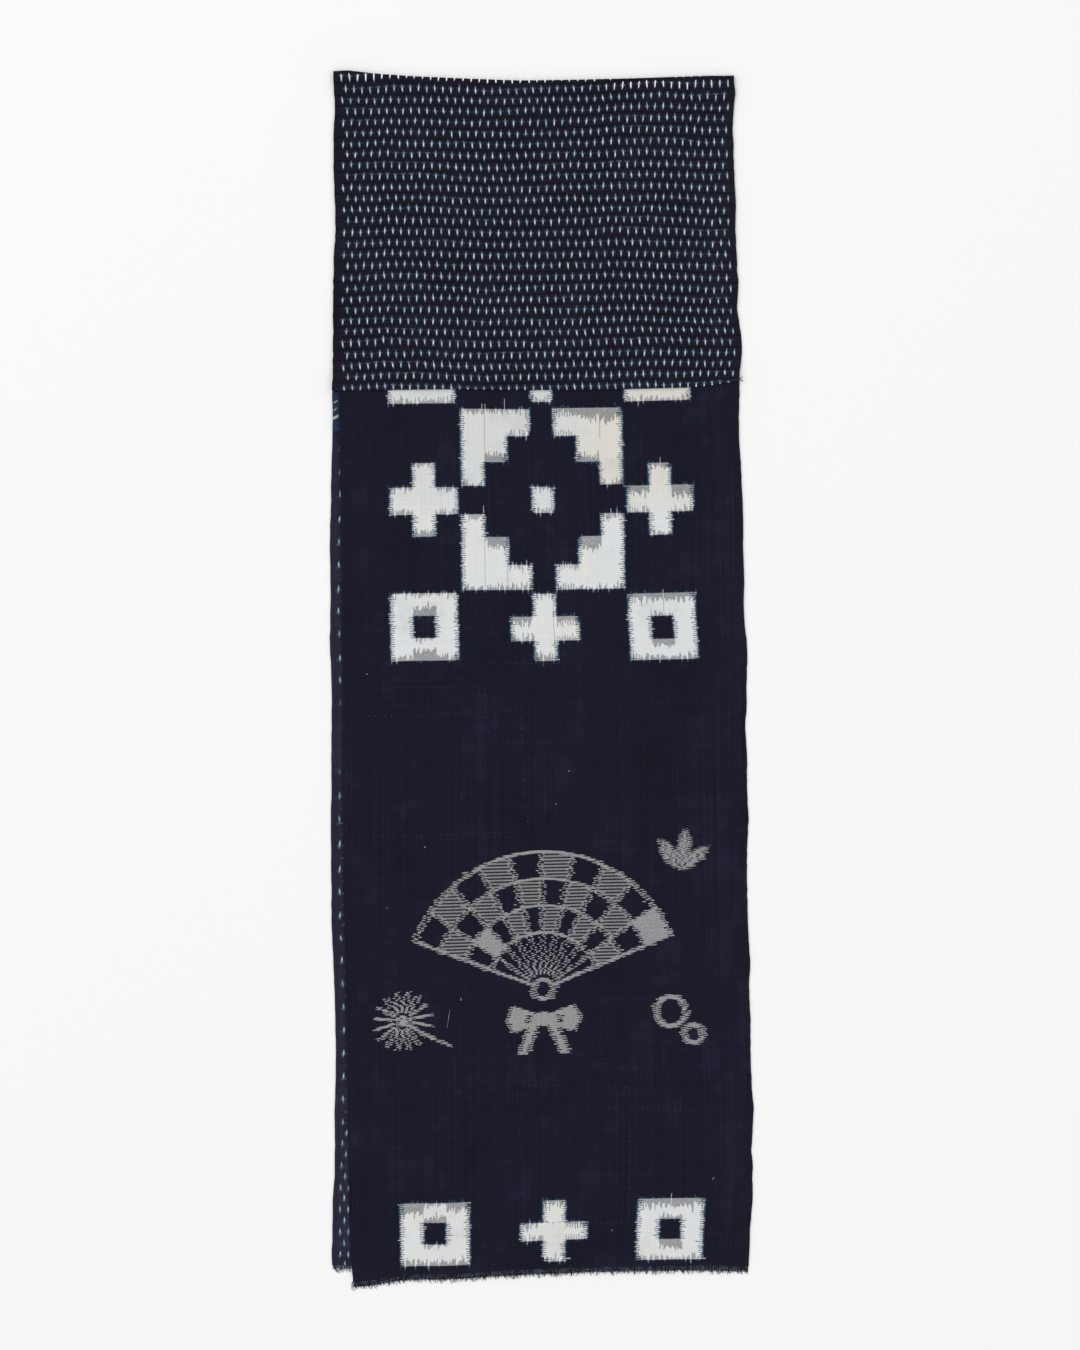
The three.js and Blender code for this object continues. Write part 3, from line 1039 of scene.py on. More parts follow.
    def box_distance(self, group: NodeTree, place: Wire, row: Sequence[float],
                     side: Wire | float = 0.0, trim: Wire | float = 0.0) -> Wire:
        """Distance to a rectangle given by its centre and half sizes, below 0 inside it.

        Args:
            group: the tree to write into.
            place: the place, as a vector.
            row: centre x, centre y, half width and half height.
            side: how much is taken off its left and right sides.
            trim: how much is taken off its upper and lower ends.

        Returns:
            The distance in millimetres.
        """
        away = group.combine("SUBTRACT", place, (row[0], row[1], 0.0))
        past = group.combine("SUBTRACT", group.combine("ABSOLUTE", away), (row[2], row[3], 0.0))
        x, y, _ = group.parts(past)
        return (x + side).most(y + trim)

    def build_motifs(self) -> ShaderTree:
        """Distance to the nearest block motif, below 0 inside it, and to the parts with dark warps.

        Each box's place also carries the distance found so far. The renderer then works the boxes out one
        after another, so that few values are held at once. The input After does the same for two uses.

        Returns:
            The group's tree.
        """
        inputs = ("Across", "Along", "Side Trim", "End Trim", "After")
        group = GroupTree("block_motifs", inputs, ("Distance", "Gap"))
        across, along = group.take("Across"), group.take("Along")
        side, trim = group.take("Side Trim"), group.take("End Trim")
        latest = group.take("After")
        nearest: Wire | None = None
        for motif in MOTIFS:
            shape: Wire | None = None
            for *row, cut in motif.blocks():
                place = group.vector(across, along, latest)
                trims = (side * -1, trim * -1) if cut else (side, trim)
                distance = self.box_distance(group, place, row, *trims)
                if shape is None:
                    shape = distance
                else:
                    shape = shape.most(distance * -1) if cut else shape.least(distance)
                latest = shape
            nearest = shape if nearest is None else nearest.least(shape)
            latest = nearest
        gap: Wire | None = None
        for row in WARP_GAPS:
            distance = self.box_distance(group, group.vector(across, along, latest), row)
            gap = distance if gap is None else gap.least(distance)
            latest = gap
        return group.give(Distance=nearest, Gap=gap)

    def build_spikes(self) -> ShaderTree:
        """Single warps that stay white past a motif, and single dark warps inside one.

        Returns:
            The group's tree.
        """
        group = GroupTree("single_warps", ("Across", "Along"), ("White", "Dark"))
        across, along = group.take("Across"), group.take("Along")
        sums: dict[bool, Wire] = {}
        for spike in WARP_SPIKES:
            middle, half = (spike.high + spike.low) / 2, (spike.high - spike.low) / 2
            wide = group.step(abs(across - spike.x), SPIKE_CORE, SPIKE_EDGE)
            high = group.step(abs(along - middle), half - SPIKE_FADE, half)
            line = (1 - wide) * (1 - high)
            sums[spike.white] = line if spike.white not in sums else sums[spike.white].most(line)
        return group.give(White=sums[True], Dark=sums[False])

    def draw_fan(self, group: NodeTree, x: Wire, y: Wire) -> Wire:
        """Draws an open fan: rings of chequered panels, a rim, ribs and a round knot.

        Args:
            group: the tree to write into.
            x: across from the fan's middle.
            y: up from it.

        Returns:
            The fan's mask.
        """
        fan = FAN
        up = y - fan.pivot_y
        radius = group.reach(x, up)
        turn = group.math("ARCTAN2", x, up)
        half = math.radians(fan.half_angle)
        panel_angle = 2 * half / fan.panels
        panel_place = (turn + half) / panel_angle
        panel = panel_place.floor()
        ring_height = (fan.outer - fan.inner) / fan.rings
        ring_place = (radius - fan.inner) / ring_height
        ring = ring_place.floor()
        within = group.under((abs(turn) - half) * radius, 0.0)
        inside = within * group.under(radius, fan.outer) * group.step(radius, fan.inner - 1, fan.inner)
        in_panel = abs(panel_place.fraction() - 0.5)
        fold_line = (0.5 - in_panel) * panel_angle * radius
        ring_line = (0.5 - abs(ring_place.fraction() - 0.5)) * ring_height
        lines = group.under(fold_line.least(ring_line), fan.stroke * 0.8)
        odd = (panel + ring).odd()
        stripe = group.under(abs((y / fan.stripe_pitch).fraction() - 0.5), fan.stripe / fan.stripe_pitch)
        solid = group.chance(panel + 3, ring, 21).below(fan.solid_share)
        paper = inside * lines.most(odd * stripe).most(solid * odd)
        rim = group.under(abs(radius - fan.outer), fan.stroke) * within
        rim = rim.most(group.under(abs(radius - fan.inner), fan.stroke) * within)
        guard = group.under(abs(abs(turn) - half) * radius, fan.stroke * 1.1)
        guard = guard * group.under(radius, fan.outer)
        guard = guard * group.step(radius, fan.guard_start, fan.guard_start + 1)
        ribs = group.under(fold_line, fan.stroke * 0.7) * within * group.under(radius, fan.inner)
        ribs = ribs * group.step(radius, fan.rib_start, fan.rib_start + 1)
        knot = group.under(abs(radius - fan.knot), fan.knot_stroke)
        return paper.most(rim).most(guard).most(ribs).most(knot)

    def draw_bow(self, group: NodeTree, x: Wire, y: Wire) -> Iterator[Wire]:
        """Draws the bow under the fan: its wings with a crease, its tie and its tails.

        Args:
            group: the tree to write into.
            x: across from the fan's middle.
            y: up from it.

        Returns:
            The masks, one by one.
        """
        bow = BOW
        low = y + bow.drop
        wings = group.under(abs(low) - abs(x) * bow.wing_slope, bow.wing_half)
        wings = wings * group.under(abs(x) + abs(low) * 0.5, bow.wing_reach)
        crease = group.under(abs(abs(x) - bow.crease_x) - abs(low) * bow.crease_slope, bow.crease_half)
        crease = crease * group.under(abs(low), bow.crease_reach)
        yield wings * (1 - crease)
        yield group.under(group.reach(x, low), bow.tie)
        tails = group.under(abs(abs(x) - bow.tail_x + low * bow.tail_slope), bow.tail_half)
        yield tails * group.under(abs(low + bow.tail_drop), bow.tail_reach)

    def draw_sprig(self, group: NodeTree, x: Wire, y: Wire) -> Iterator[Wire]:
        """Draws the round pine sprig and its twig.

        Args:
            group: the tree to write into.
            x: across from the fan's middle.
            y: up from it.

        Returns:
            The masks, one by one.
        """
        sprig = SPRIG
        beside = x + sprig.left
        over = y + sprig.drop
        pitch = math.radians(sprig.needle_turn)
        turn = group.math("ARCTAN2", beside, over) / pitch
        far = group.reach(beside, over)
        needle = group.under(abs(turn.fraction() - 0.5) * pitch * far, sprig.needle_half)
        needle = needle * group.under(far, sprig.needle_end)
        needle = needle * group.step(far, sprig.needle_start, sprig.needle_start + 1)
        yield needle.most(group.under(far, sprig.heart))
        twig = group.under(abs(over + beside * sprig.twig_slope + sprig.twig_drop), sprig.twig_half)
        yield twig * group.under(abs(beside - sprig.twig_x), sprig.twig_reach)

    def draw_leaves(self, group: NodeTree, x: Wire, y: Wire) -> Iterator[Wire]:
        """Draws the spray's leaves, each with a bare vein.

        Args:
            group: the tree to write into.
            x: across from the fan's middle.
            y: up from it.

        Returns:
            The masks, one by one.
        """
        spray = SPRAY
        for leaf in spray.leaves:
            cos, sin = math.cos(math.radians(leaf.turn)), math.sin(math.radians(leaf.turn))
            beside = (x - spray.x) * cos + (y - spray.y) * sin
            over = (y - spray.y) * cos - (x - spray.x) * sin - spray.far - leaf.out
            bulge = (over / spray.half_length) * (over / spray.half_length)
            shape = group.under(abs(beside) / spray.half_width + bulge, 1.0)
            vein = group.under(abs(beside), spray.vein_half) * group.under(abs(over), spray.vein_reach)
            yield shape * (1 - vein)

    def draw_rings(self, group: NodeTree, x: Wire, y: Wire) -> Iterator[Wire]:
        """Draws the rings."""
        for ring in RINGS:
            yield group.under(abs(group.reach(x - ring.x, y - ring.y) - ring.size), ring.half_stroke)

    def build_picture(self) -> ShaderTree:
        """The woven picture, in white wefts only: an open fan, a bow, a pine sprig, leaves and rings.

        Returns:
            The group's tree.
        """
        group = GroupTree("woven_picture", ("Across", "Along"), ("Weft Tie",))
        x = group.take("Across") - FAN.x
        y = group.take("Along") - FAN.y
        result = self.draw_fan(group, x, y)
        for draw in (self.draw_bow, self.draw_sprig, self.draw_leaves, self.draw_rings):
            for shape in draw(group, x, y):
                result = result.most(shape)
        return group.give(Weft_Tie=result)


@dataclass(frozen=True)
class ClothFinish:
    """Colours of an indigo cloth, as linear light, and how its surface scatters it."""

    name: str
    dark: Triple
    pale: Triple
    cream: Triple
    bleed: Triple
    worn: Triple
    wear_share: float = 0.35
    least_depth: float = 0.25
    roughness: float = 0.92
    gloss: float = 0.05
    sheen: float = 0.03
    weave_relief: float = 0.09


BLOCK_FINISH = ClothFinish(
    name="block_cloth_cotton",
    dark=(0.0084, 0.0078, 0.0178),
    pale=(0.685, 0.705, 0.708),
    cream=(0.73, 0.71, 0.65),
    bleed=(0.045, 0.13, 0.23),
    worn=(0.016, 0.020, 0.042),
)
CROSS_FINISH = ClothFinish(
    name="small_cross_cotton",
    dark=(0.0088, 0.0080, 0.0160),
    pale=(0.41, 0.57, 0.74),
    cream=(0.76, 0.79, 0.80),
    bleed=(0.05, 0.13, 0.20),
    worn=(0.014, 0.017, 0.034),
)


@dataclass(frozen=True)
class BlockLook:
    """Shares and measures, in millimetres, of how the block cloth's ties, wear and tone show."""

    warp_inner: float = -1.1
    warp_outer: float = 0.7
    weft_fade: float = 0.4
    gap_fade: float = 0.6
    gap_loss: float = 0.15
    warp_alone: float = 0.6
    weft_gain: float = 0.4
    dark_warp: float = 0.92
    picture_white: float = 0.78
    picture_slip: float = 1.2
    wear_loss: float = 0.12
    thread_loss: float = 0.1
    streak_loss: float = 0.22
    upper_start: float = 645.0
    upper_end: float = 700.0
    upper_loss: float = 0.08
    bleed_shift: float = 0.2
    bleed_core: float = 0.3
    bleed_end: float = 2.2
    bleed_hidden: float = 0.75
    tone_cell: float = 34.0
    tone_low: float = 0.46
    tone_high: float = 0.72
    tone_share: float = 0.6
    warm_start: float = 10.0
    warm_end: float = 60.0
    warm_share: float = 0.9


@dataclass(frozen=True)
class CrossLook:
    """Shares of how the small crosses, the worn fold and the faded back show, and how dark the painted shade
    along the grooves between rows is.
    """

    weft_white: float = 0.14
    weft_hidden: float = 0.6
    top_white: float = 0.55
    low_white: float = 0.05
    core_white: float = 1.1
    fold_low: float = 0.15
    fold_high: float = 0.45
    bleed_share: float = 0.8
    weft_tone: float = 1.2
    tone_low: float = 0.55
    tone_high: float = 0.95
    tone_share: float = 0.7
    faded_line: float = 0.85
    faded_white: float = 0.35
    faded_depth: float = 1.2
    # Painted shade: how much darker the ground is along the grooves between rows.
    line_painted_shade: float = 0.4
    line_relief: float = 1.5
    worn_low: float = 0.3
    worn_high: float = 0.7
    worn_white: Triple = (0.90, 0.92, 0.93)


@dataclass(frozen=True)
class ScrapFinish:
    """Colours of the blue scrap, as linear light, and its surface."""

    name: str = "blue_scrap_cotton"
    blue: Triple = (0.018, 0.029, 0.068)
    cream: Triple = (0.48, 0.48, 0.44)
    thread_share: float = 0.3
    low_white: float = 0.6
    roughness: float = 0.92
    gloss: float = 0.05
    sheen: float = 0.03
    weave_relief: float = 0.09


@dataclass(frozen=True)
class ThreadFinish:
    """Colour of a sewing thread or of loose yarn, as linear light, with some uneven dye."""

    name: str
    colour: Triple
    other: Triple
    cell: float = 6.0
    low: float = 0.4
    high: float = 0.68
    roughness: float = 0.9
    gloss: float = 0.08
    sheen: float = 0.0


class ThreadKind(Enum):
    """The loose and sewn yarns."""

    FRONT_FRAY = ThreadFinish("front_fray_yarn", (0.012, 0.012, 0.023), (0.034, 0.045, 0.07))
    BACK_FRAY = ThreadFinish("back_fray_yarn", (0.022, 0.026, 0.040), (0.06, 0.08, 0.11))
    MENDING = ThreadFinish("mending_thread", (0.028, 0.028, 0.058), (0.062, 0.060, 0.10))
    TOPSTITCH = ThreadFinish("topstitch_thread", (0.012, 0.018, 0.035), (0.06, 0.08, 0.12))
    SLUB = ThreadFinish("white_slub_yarn", (0.42, 0.44, 0.46), (0.62, 0.63, 0.64))


class ScrapDash(NamedTuple):
    """A cream dash on the blue scrap: its middle, half length, half thickness, slope and whiteness."""

    across: float
    along: float
    half_length: float
    thick: float
    slope: float
    white: float


SCRAP_FINISH = ScrapFinish()
SCRAP_DASHES = tuple(ScrapDash(*row) for row in (
    (2.3, 26.2, 1.9, 0.75, 0.5, 0.7), (1.9, 19.4, 1.7, 0.9, 0.75, 0.55), (2.2, 12.6, 2.8, 1.25, 0.5, 1),
    (9.4, 22.8, 2.4, 0.9, 0.5, 0.8), (9.8, 9.2, 2.6, 1, 0.5, 0.9), (16.3, 26.6, 2.2, 0.8, 0.5, 0.7),
    (16.9, 13, 2.5, 1, 0.5, 0.9), (23.4, 20.4, 2.4, 0.9, 0.5, 0.8),
))


class Dressing:
    """Makes the materials."""

    def __init__(self, patterns: Patterns) -> None:
        """Takes the shared shader groups."""
        self.patterns = patterns

    def start(self, finish: "ClothFinish | ScrapFinish | ThreadFinish") -> tuple[Material, NodeTree, Node]:
        """Makes a material with one Principled shader, its constant values set on its own sockets.

        Args:
            finish: its name and its surface.

        Returns:
            The material, its tree and its shader.
        """
        material = bpy.data.materials.new(finish.name)
        material.use_nodes = True
        tree = NodeTree(material.node_tree)
        shader = material.node_tree.nodes["Principled BSDF"]
        shader.inputs["Roughness"].default_value = finish.roughness
        shader.inputs["Specular IOR Level"].default_value = finish.gloss
        shader.inputs["Sheen Weight"].default_value = finish.sheen
        shader.inputs["Sheen Roughness"].default_value = 0.6
        return material, tree, shader

    def cloth_place(self, tree: NodeTree) -> tuple[Wire, Wire]:
        """Reads the place on the cloth, in millimetres across and along it."""
        x, y, _ = tree.parts(tree.fill("ShaderNodeUVMap", {}, "UV", uv_map="cloth"))
        return x / MM, y / MM

    def relief(self, tree: NodeTree, shader: Node, height: Wire, depth: float) -> None:
        """Adds the weave's bump."""
        sockets = {"Strength": 1.0, "Distance": depth * MM, "Height": height}
        tree.plug(shader.inputs["Normal"], tree.fill("ShaderNodeBump", sockets, "Normal"))

    def dyed(self, tree: NodeTree, finish: ClothFinish, white: Wire, bleed: Wire, depth: Wire,
             wear: Wire, tone: Wire) -> Wire:
        """Mixes indigo, the pale blue where dye crept under a tie, and the undyed yarn.

        Args:
            tree: the material's tree.
            finish: the cloth's colours.
            white: how much of the yarn is undyed.
            bleed: how much dye crept in.
            depth: depth of the indigo.
            wear: how worn it is.
            tone: 0 for pale yarn and 1 for cream yarn.

        Returns:
            The colour.
        """
        ground = tree.tint(wear * finish.wear_share, finish.dark, finish.worn)
        ground = tree.scaled(ground, depth.most(finish.least_depth))
        undyed = tree.tint(tone, finish.pale, finish.cream)
        crept = tree.tint(bleed, ground, finish.bleed)
        return tree.tint(white, crept, undyed)

    def block_cloth(self) -> Material:
        """Indigo cotton with large white blocks, tied in warp and weft, and a picture tied in the weft.

        Returns:
            The material.
        """
        finish, look = BLOCK_FINISH, BlockLook()
        material, tree, shader = self.start(finish)
        groups = self.patterns
        across, along = self.cloth_place(tree)
        weave = tree.use(groups.weave, Across=across, Along=along)
        slip = tree.use(groups.scatter, Across=across, Along=along)
        dye = tree.use(groups.dye, Across=across, Along=along, Shade=weave["Shade"])
        slipped = {"Across": across, "Along": along + slip["Warp Slip"], "End Trim": WEAVE.warp_trim}
        warp = tree.use(groups.motifs, **slipped)
        slipped = {"Across": across + slip["Weft Slip"], "Along": along, "Side Trim": WEAVE.weft_trim}
        weft = tree.use(groups.motifs, **slipped, After=warp["Gap"])
        single = tree.use(groups.spikes, Across=across, Along=along)
        drawn = across + slip["Weft Slip"] * look.picture_slip
        picture = tree.use(groups.picture, Across=drawn, Along=along)
        no_warp = 1 - tree.step(warp["Gap"], -look.gap_fade, look.gap_fade)
        warp_tie = (1 - tree.step(warp["Distance"], look.warp_inner, look.warp_outer)) * (1 - no_warp)
        block_weft = 1 - tree.step(weft["Distance"], -look.weft_fade, look.weft_fade)
        block_weft = block_weft * (1 - no_warp * look.gap_loss)
        warp_tie = warp_tie * (block_weft * look.weft_gain + look.warp_alone)
        warp_tie = warp_tie.most(single["White"]) * (1 - single["Dark"] * look.dark_warp)
        weft_tie = block_weft.most(picture["Weft Tie"] * look.picture_white)
        worn_white = 1 - dye["Wear"] * look.wear_loss - (weave["Shade"] - 0.5) * look.thread_loss
        worn_white = worn_white - abs(dye["Depth"] - 1) * look.streak_loss
        upper_part = tree.step(along, look.upper_start, look.upper_end)
        white = tree.blend(weave["Warp Top"], weft_tie, warp_tie) * worn_white
        white = white * (1 - upper_part * look.upper_loss)
        near_tie = 1 - tree.step(abs(warp["Distance"] + look.bleed_shift), look.bleed_core, look.bleed_end)
        bleed = near_tie * weave["Warp Top"] * (1 - block_weft * look.bleed_hidden)
        warm_part = upper_part * tree.step(across, look.warm_start, look.warm_end)
        uneven = tree.noise(tree.vector(across, along, 21.0), 1 / look.tone_cell, 3.0)
        tone = tree.step(uneven, look.tone_low, look.tone_high) * look.tone_share
        tone = tone.most(warm_part * look.warm_share)
        colour = self.dyed(tree, finish, white, bleed, dye["Depth"], dye["Wear"], tone)
        tree.plug(shader.inputs["Base Color"], colour)
        self.relief(tree, shader, weave["Height"], finish.weave_relief)
        return material

    def mask(self, tree: NodeTree, name: str) -> Wire:
        """Reads one of the mesh's own masks."""
        return tree.fill("ShaderNodeAttribute", {}, "Fac", attribute_name=name)

    def cross_cloth(self) -> Material:
        """Indigo cotton with small white crosses in staggered rows.

        Returns:
            The material.
        """
        finish, look = CROSS_FINISH, CrossLook()
        material, tree, shader = self.start(finish)
        groups = self.patterns
        across, along = self.cloth_place(tree)
        weave = tree.use(groups.weave, Across=across, Along=along)
        dye = tree.use(groups.dye, Across=across, Along=along, Shade=weave["Shade"])
        cross = tree.use(groups.crosses, Across=across, Along=along)
        bare = 1 - self.mask(tree, "plain_part")
        warp_tie = cross["Warp Tie"] * bare
        weft_tie = cross["Weft Tie"] * bare * look.weft_white
        fold = self.mask(tree, "fold_wear")
        top = weave["Warp Top"] * look.top_white + look.low_white
        covered = tree.blend(cross["Core"], top, look.core_white)
        white = (warp_tie * covered).most(weft_tie * (1 - weave["Warp Top"] * look.weft_hidden))
        white = white.most(tree.step(warp_tie, look.fold_low, look.fold_high) * fold)
        bleed = (warp_tie * look.bleed_share).most(weft_tie)
        full = tree.step(warp_tie, look.tone_low, look.tone_high) * look.tone_share
        tone = (weft_tie * look.weft_tone).most(full).most(fold)
        faded = self.mask(tree, "faded_part")
        # Painted shade: the ground is darkened along the grooves between rows, less on the faded back; the
        # same mask also lowers the bump.
        row_groove_and_shade = cross["Row Line"] * (1 - faded * look.faded_line)
        white = white * (1 - faded * look.faded_white)
        depth = dye["Depth"] * (1 - row_groove_and_shade * look.line_painted_shade) * (faded * look.faded_depth + 1)
        colour = self.dyed(tree, finish, white, bleed, depth, dye["Wear"], tone)
        worn = tree.step(warp_tie, look.worn_low, look.worn_high) * fold
        colour = tree.tint(worn, colour, look.worn_white)
        tree.plug(shader.inputs["Base Color"], colour)
        self.relief(tree, shader, weave["Height"] - row_groove_and_shade * look.line_relief, finish.weave_relief)
        return material

    def scrap(self) -> Material:
        """Mid-blue cotton with short cream dashes.

        Returns:
            The material.
        """
        finish = SCRAP_FINISH
        material, tree, shader = self.start(finish)
        across, along = self.cloth_place(tree)
        weave = tree.use(self.patterns.weave, Across=across, Along=along)
        dye = tree.use(self.patterns.dye, Across=across, Along=along, Shade=weave["Shade"])
        dash: Wire | None = None
        for row in SCRAP_DASHES:
            beside = across - row.across
            over = abs(along - row.along - beside * row.slope)
            line = 1 - tree.step(over, row.thick - 0.4, row.thick + 0.3)
            past_end = tree.step(abs(beside), row.half_length - 0.8, row.half_length + 0.2)
            line = line * (1 - past_end) * row.white
            dash = line if dash is None else dash.most(line)
        blue = tree.scaled(finish.blue, dye["Depth"])
        share = dash * (weave["Shade"] * finish.thread_share + finish.low_white)
        tree.plug(shader.inputs["Base Color"], tree.tint(share, blue, finish.cream))
        self.relief(tree, shader, weave["Height"], finish.weave_relief)
        return material

    def thread(self, kind: ThreadKind) -> Material:
        """Loose or sewn yarn.

        Args:
            kind: which yarn.

        Returns:
            The material.
        """
        finish = kind.value
        material, tree, shader = self.start(finish)
        place = tree.fill("ShaderNodeTexCoord", {}, "Object")
        uneven = tree.noise(place, 1 / (finish.cell * MM), 3.0)
        colour = tree.tint(tree.step(uneven, finish.low, finish.high), finish.colour, finish.other)
        tree.plug(shader.inputs["Base Color"], colour)
        return material


class Relief:
    """Soft uneven heights over the cloth, the same on each run."""

    CELLS = 256

    def __init__(self, seed: int, cell_x: float, cell_y: float, height: float) -> None:
        """Takes a seed, the size of the waves across and along, and their height.

        Args:
            seed: seed of its random values.
            cell_x: size of the waves across.
            cell_y: size of the waves along.
            height: their height.
        """
        self.values = np.random.default_rng(seed).uniform(-1, 1, (self.CELLS, self.CELLS))
        self.cell_x = cell_x
        self.cell_y = cell_y
        self.height = height

    def __call__(self, x: Values, y: Values) -> Values:
        """Gives the height at each place.

        Args:
            x: places across.
            y: places along.

        Returns:
            The heights.
        """
        px, py = np.asarray(x) / self.cell_x, np.asarray(y) / self.cell_y
        i, j = np.floor(px).astype(int), np.floor(py).astype(int)
        tx, ty = px - i, py - j
        tx, ty = tx * tx * (3 - 2 * tx), ty * ty * (3 - 2 * ty)
        pick = self.values[i % self.CELLS, j % self.CELLS]
        pick_x = self.values[(i + 1) % self.CELLS, j % self.CELLS]
        pick_y = self.values[i % self.CELLS, (j + 1) % self.CELLS]
        pick_xy = self.values[(i + 1) % self.CELLS, (j + 1) % self.CELLS]
        return self.height * mix(mix(pick, pick_x, tx), mix(pick_y, pick_xy, tx), ty)


class StitchLine(NamedTuple):
    """A row of running stitches, as a few points of the picture's plane."""

    points: tuple[tuple[float, float], ...]


STITCH_LINES = tuple(StitchLine(row) for row in (
    ((-49.3, 13.2), (33.4, 14.1)), ((33.9, 14.1), (36.9, -54.6)), ((-45.8, -56.3), (37, -54.6)),
    ((-49.3, 10.6), (-48.4, -28.2), (-46.2, -53.2)), ((-166.3, -33.4), (-88.9, -30.8), (-18.5, -28.2)),
    ((-17.6, -32.6), (-15.8, -72.2), (-14.1, -105.6), (-11.4, -132)),
    ((-161.9, -139), (-88.9, -137.3), (-12.3, -133.8)), ((-17.6, -357.3), (75.7, -358.2)),
    ((-21.1, -362.6), (-18.9, -390.7), (-17.6, -457.6), (-19.4, -477.8)),
    ((77.9, -359), (77.9, -422.4), (77.4, -476.1)), ((-17.6, -477.8), (77.4, -478.7)),
    ((52.4, -296.6), (53.7, -356.4), (53.3, -376.6)),
    ((53.3, -376.6), (85.4, -377.5), (104.7, -378.4), (139.9, -380.2)),
    ((-171.6, -18.5), (-170.7, -80.1), (-170.3, -141.7)), ((177.8, -278.1), (178.6, -362.6)),
))


def toward_line(x: Values, y: Values, a: tuple[float, float], b: tuple[float, float]) -> Values:
    """Distance from each place to a straight stretch from a to b.

    Args:
        x: places across.
        y: places along.
        a: the stretch's start.
        b: its end.

    Returns:
        The distances.
    """
    run = np.array(b) - np.array(a)
    share = np.clip(((x - a[0]) * run[0] + (y - a[1]) * run[1]) / (run @ run), 0, 1)
    return np.hypot(x - a[0] - share * run[0], y - a[1] - share * run[1])


class ClothForm:
    """Fine form of the front: ripples that the weave keeps, and puckers along the mending stitches."""

    def __init__(self) -> None:
        """Sets up the seeded reliefs."""
        self.broad = Relief(3, 34, 58, 0.16)
        self.fine = Relief(5, 9, 15, 0.05)
        self.crepe = Relief(8, 26, 4.9, 0.12)
        self.edge = Relief(11, 5, 5, 0.35)
        self.edge_broad = Relief(14, 17, 17, 0.35)

    def block(self, x: Values, y: Values) -> Values:
        """Relief of the block cloth.

        Args:
            x: places across.
            y: places along.

        Returns:
            The heights.
        """
        height = self.broad(x, y) + self.fine(x, y)
        for line in STITCH_LINES:
            for a, b in zip(line.points, line.points[1:]):
                height = height - 0.1 * np.exp(-((toward_line(x, y, a, b) / 2.4) ** 2))
        return height

    def long(self, x: Values, y: Values) -> Values:
        """Relief of the long cloth on the front."""
        calm = ease(fold_y(x) - FOLD_RADIUS - y, 1, 12) * ease(y - seam_y(x), 4, 16)
        return (self.broad(x + 300, y) + self.fine(x, y) + self.crepe(x, y)) * calm

    def selvedge(self, u: Values, y: Values, seed: float, left_bumps: bool = True) -> Values:
        """Sideways wobble of the selvedges, with the bumps that show along the scarf's outline.

        Args:
            u: shares of the width.
            y: places along.
            seed: where the wobble starts.
            left_bumps: whether the left side has bumps.

        Returns:
            The shifts in millimetres.
        """
        near = 1 - ease(np.minimum(u, 1 - u), 0.0, 0.018)
        wobble = self.edge(np.where(u < 0.5, 40.0, 90.0) + seed, y)
        wobble = wobble + self.edge_broad(np.where(u < 0.5, 25.0, 70.0) + seed, y)
        left = np.interp(y, LEFT_PLACES, LEFT_BUMPS) * left_bumps
        return near * (wobble + np.where(u < 0.5, left, np.interp(y, RIGHT_PLACES, RIGHT_BUMPS)))


FORM = ClothForm()
RIGHT_PLACES = (
    -520, -480, -460, -441, -425, -414, -397, -379, -362, -326, -300, -282, -262,
    -247, -230, -203, -186, -168, -150, -124, -89, -71, -40, -27, -10, 17, 34,
    48, 61, 96, 110, 131, 163, 188, 210, 237, 254, 285, 303, 325, 342, 351,
    369, 395, 413, 448, 466, 492, 501, 514, 527,
)
RIGHT_BUMPS = (
    0.3, 0.3, 1.2, -0.2, 0.5, -0.9, 0.7, 1.5, 0.1, 0.8, 1.7, 0.6, 0.4,
    1.1, 0, -0.3, 0.3, -0.4, 0.2, 1.5, 0.8, 1.8, 0, 1.2, 0.4, 1, 1.3,
    0.6, 1.1, 1.4, 0.8, 1.3, 1.1, 0.5, -0.6, -0.1, 0.9, 0.4, 1.1, 0.3, 1.9, 1.9,
    0.6, 0, 1, 0.4, 1.3, 0.2, 0.8, 1.9, 0.7,
)
LEFT_PLACES = (
    -511, -494, -467, -450, -432, -406, -379, -350, -318, -291, -265, -238, -221,
    -190, -142, -89, -40, -1, 17, 43, 70, 105, 154, 200, 228, 246, 263, 316,
    378, 404, 430, 448, 474, 492, 510, 527,
)
LEFT_BUMPS = (
    -0.8, 0.3, 0.8, 0.6, 1.4, 0.3, -0.7, 0.2, 0.4, -0.2, -0.8, -0.3, -1,
    0.1, -0.5, 0.6, -0.4, -0.8, -1.5, -0.6, 0.3, -0.4, -0.9, -0.2, 0.3, -0.7, 0.1, -0.2,
    0.4, 0.5, 1, -0.2, -0.4, 0.3, 0.5, -0.7,
)


def block_top(x: Values, y: Values) -> Values:
    """Height of the block cloth's upper face."""
    return front_underside(x, y) + WALL / 2 + CLOTH_THICK / 2 + FORM.block(x, y)


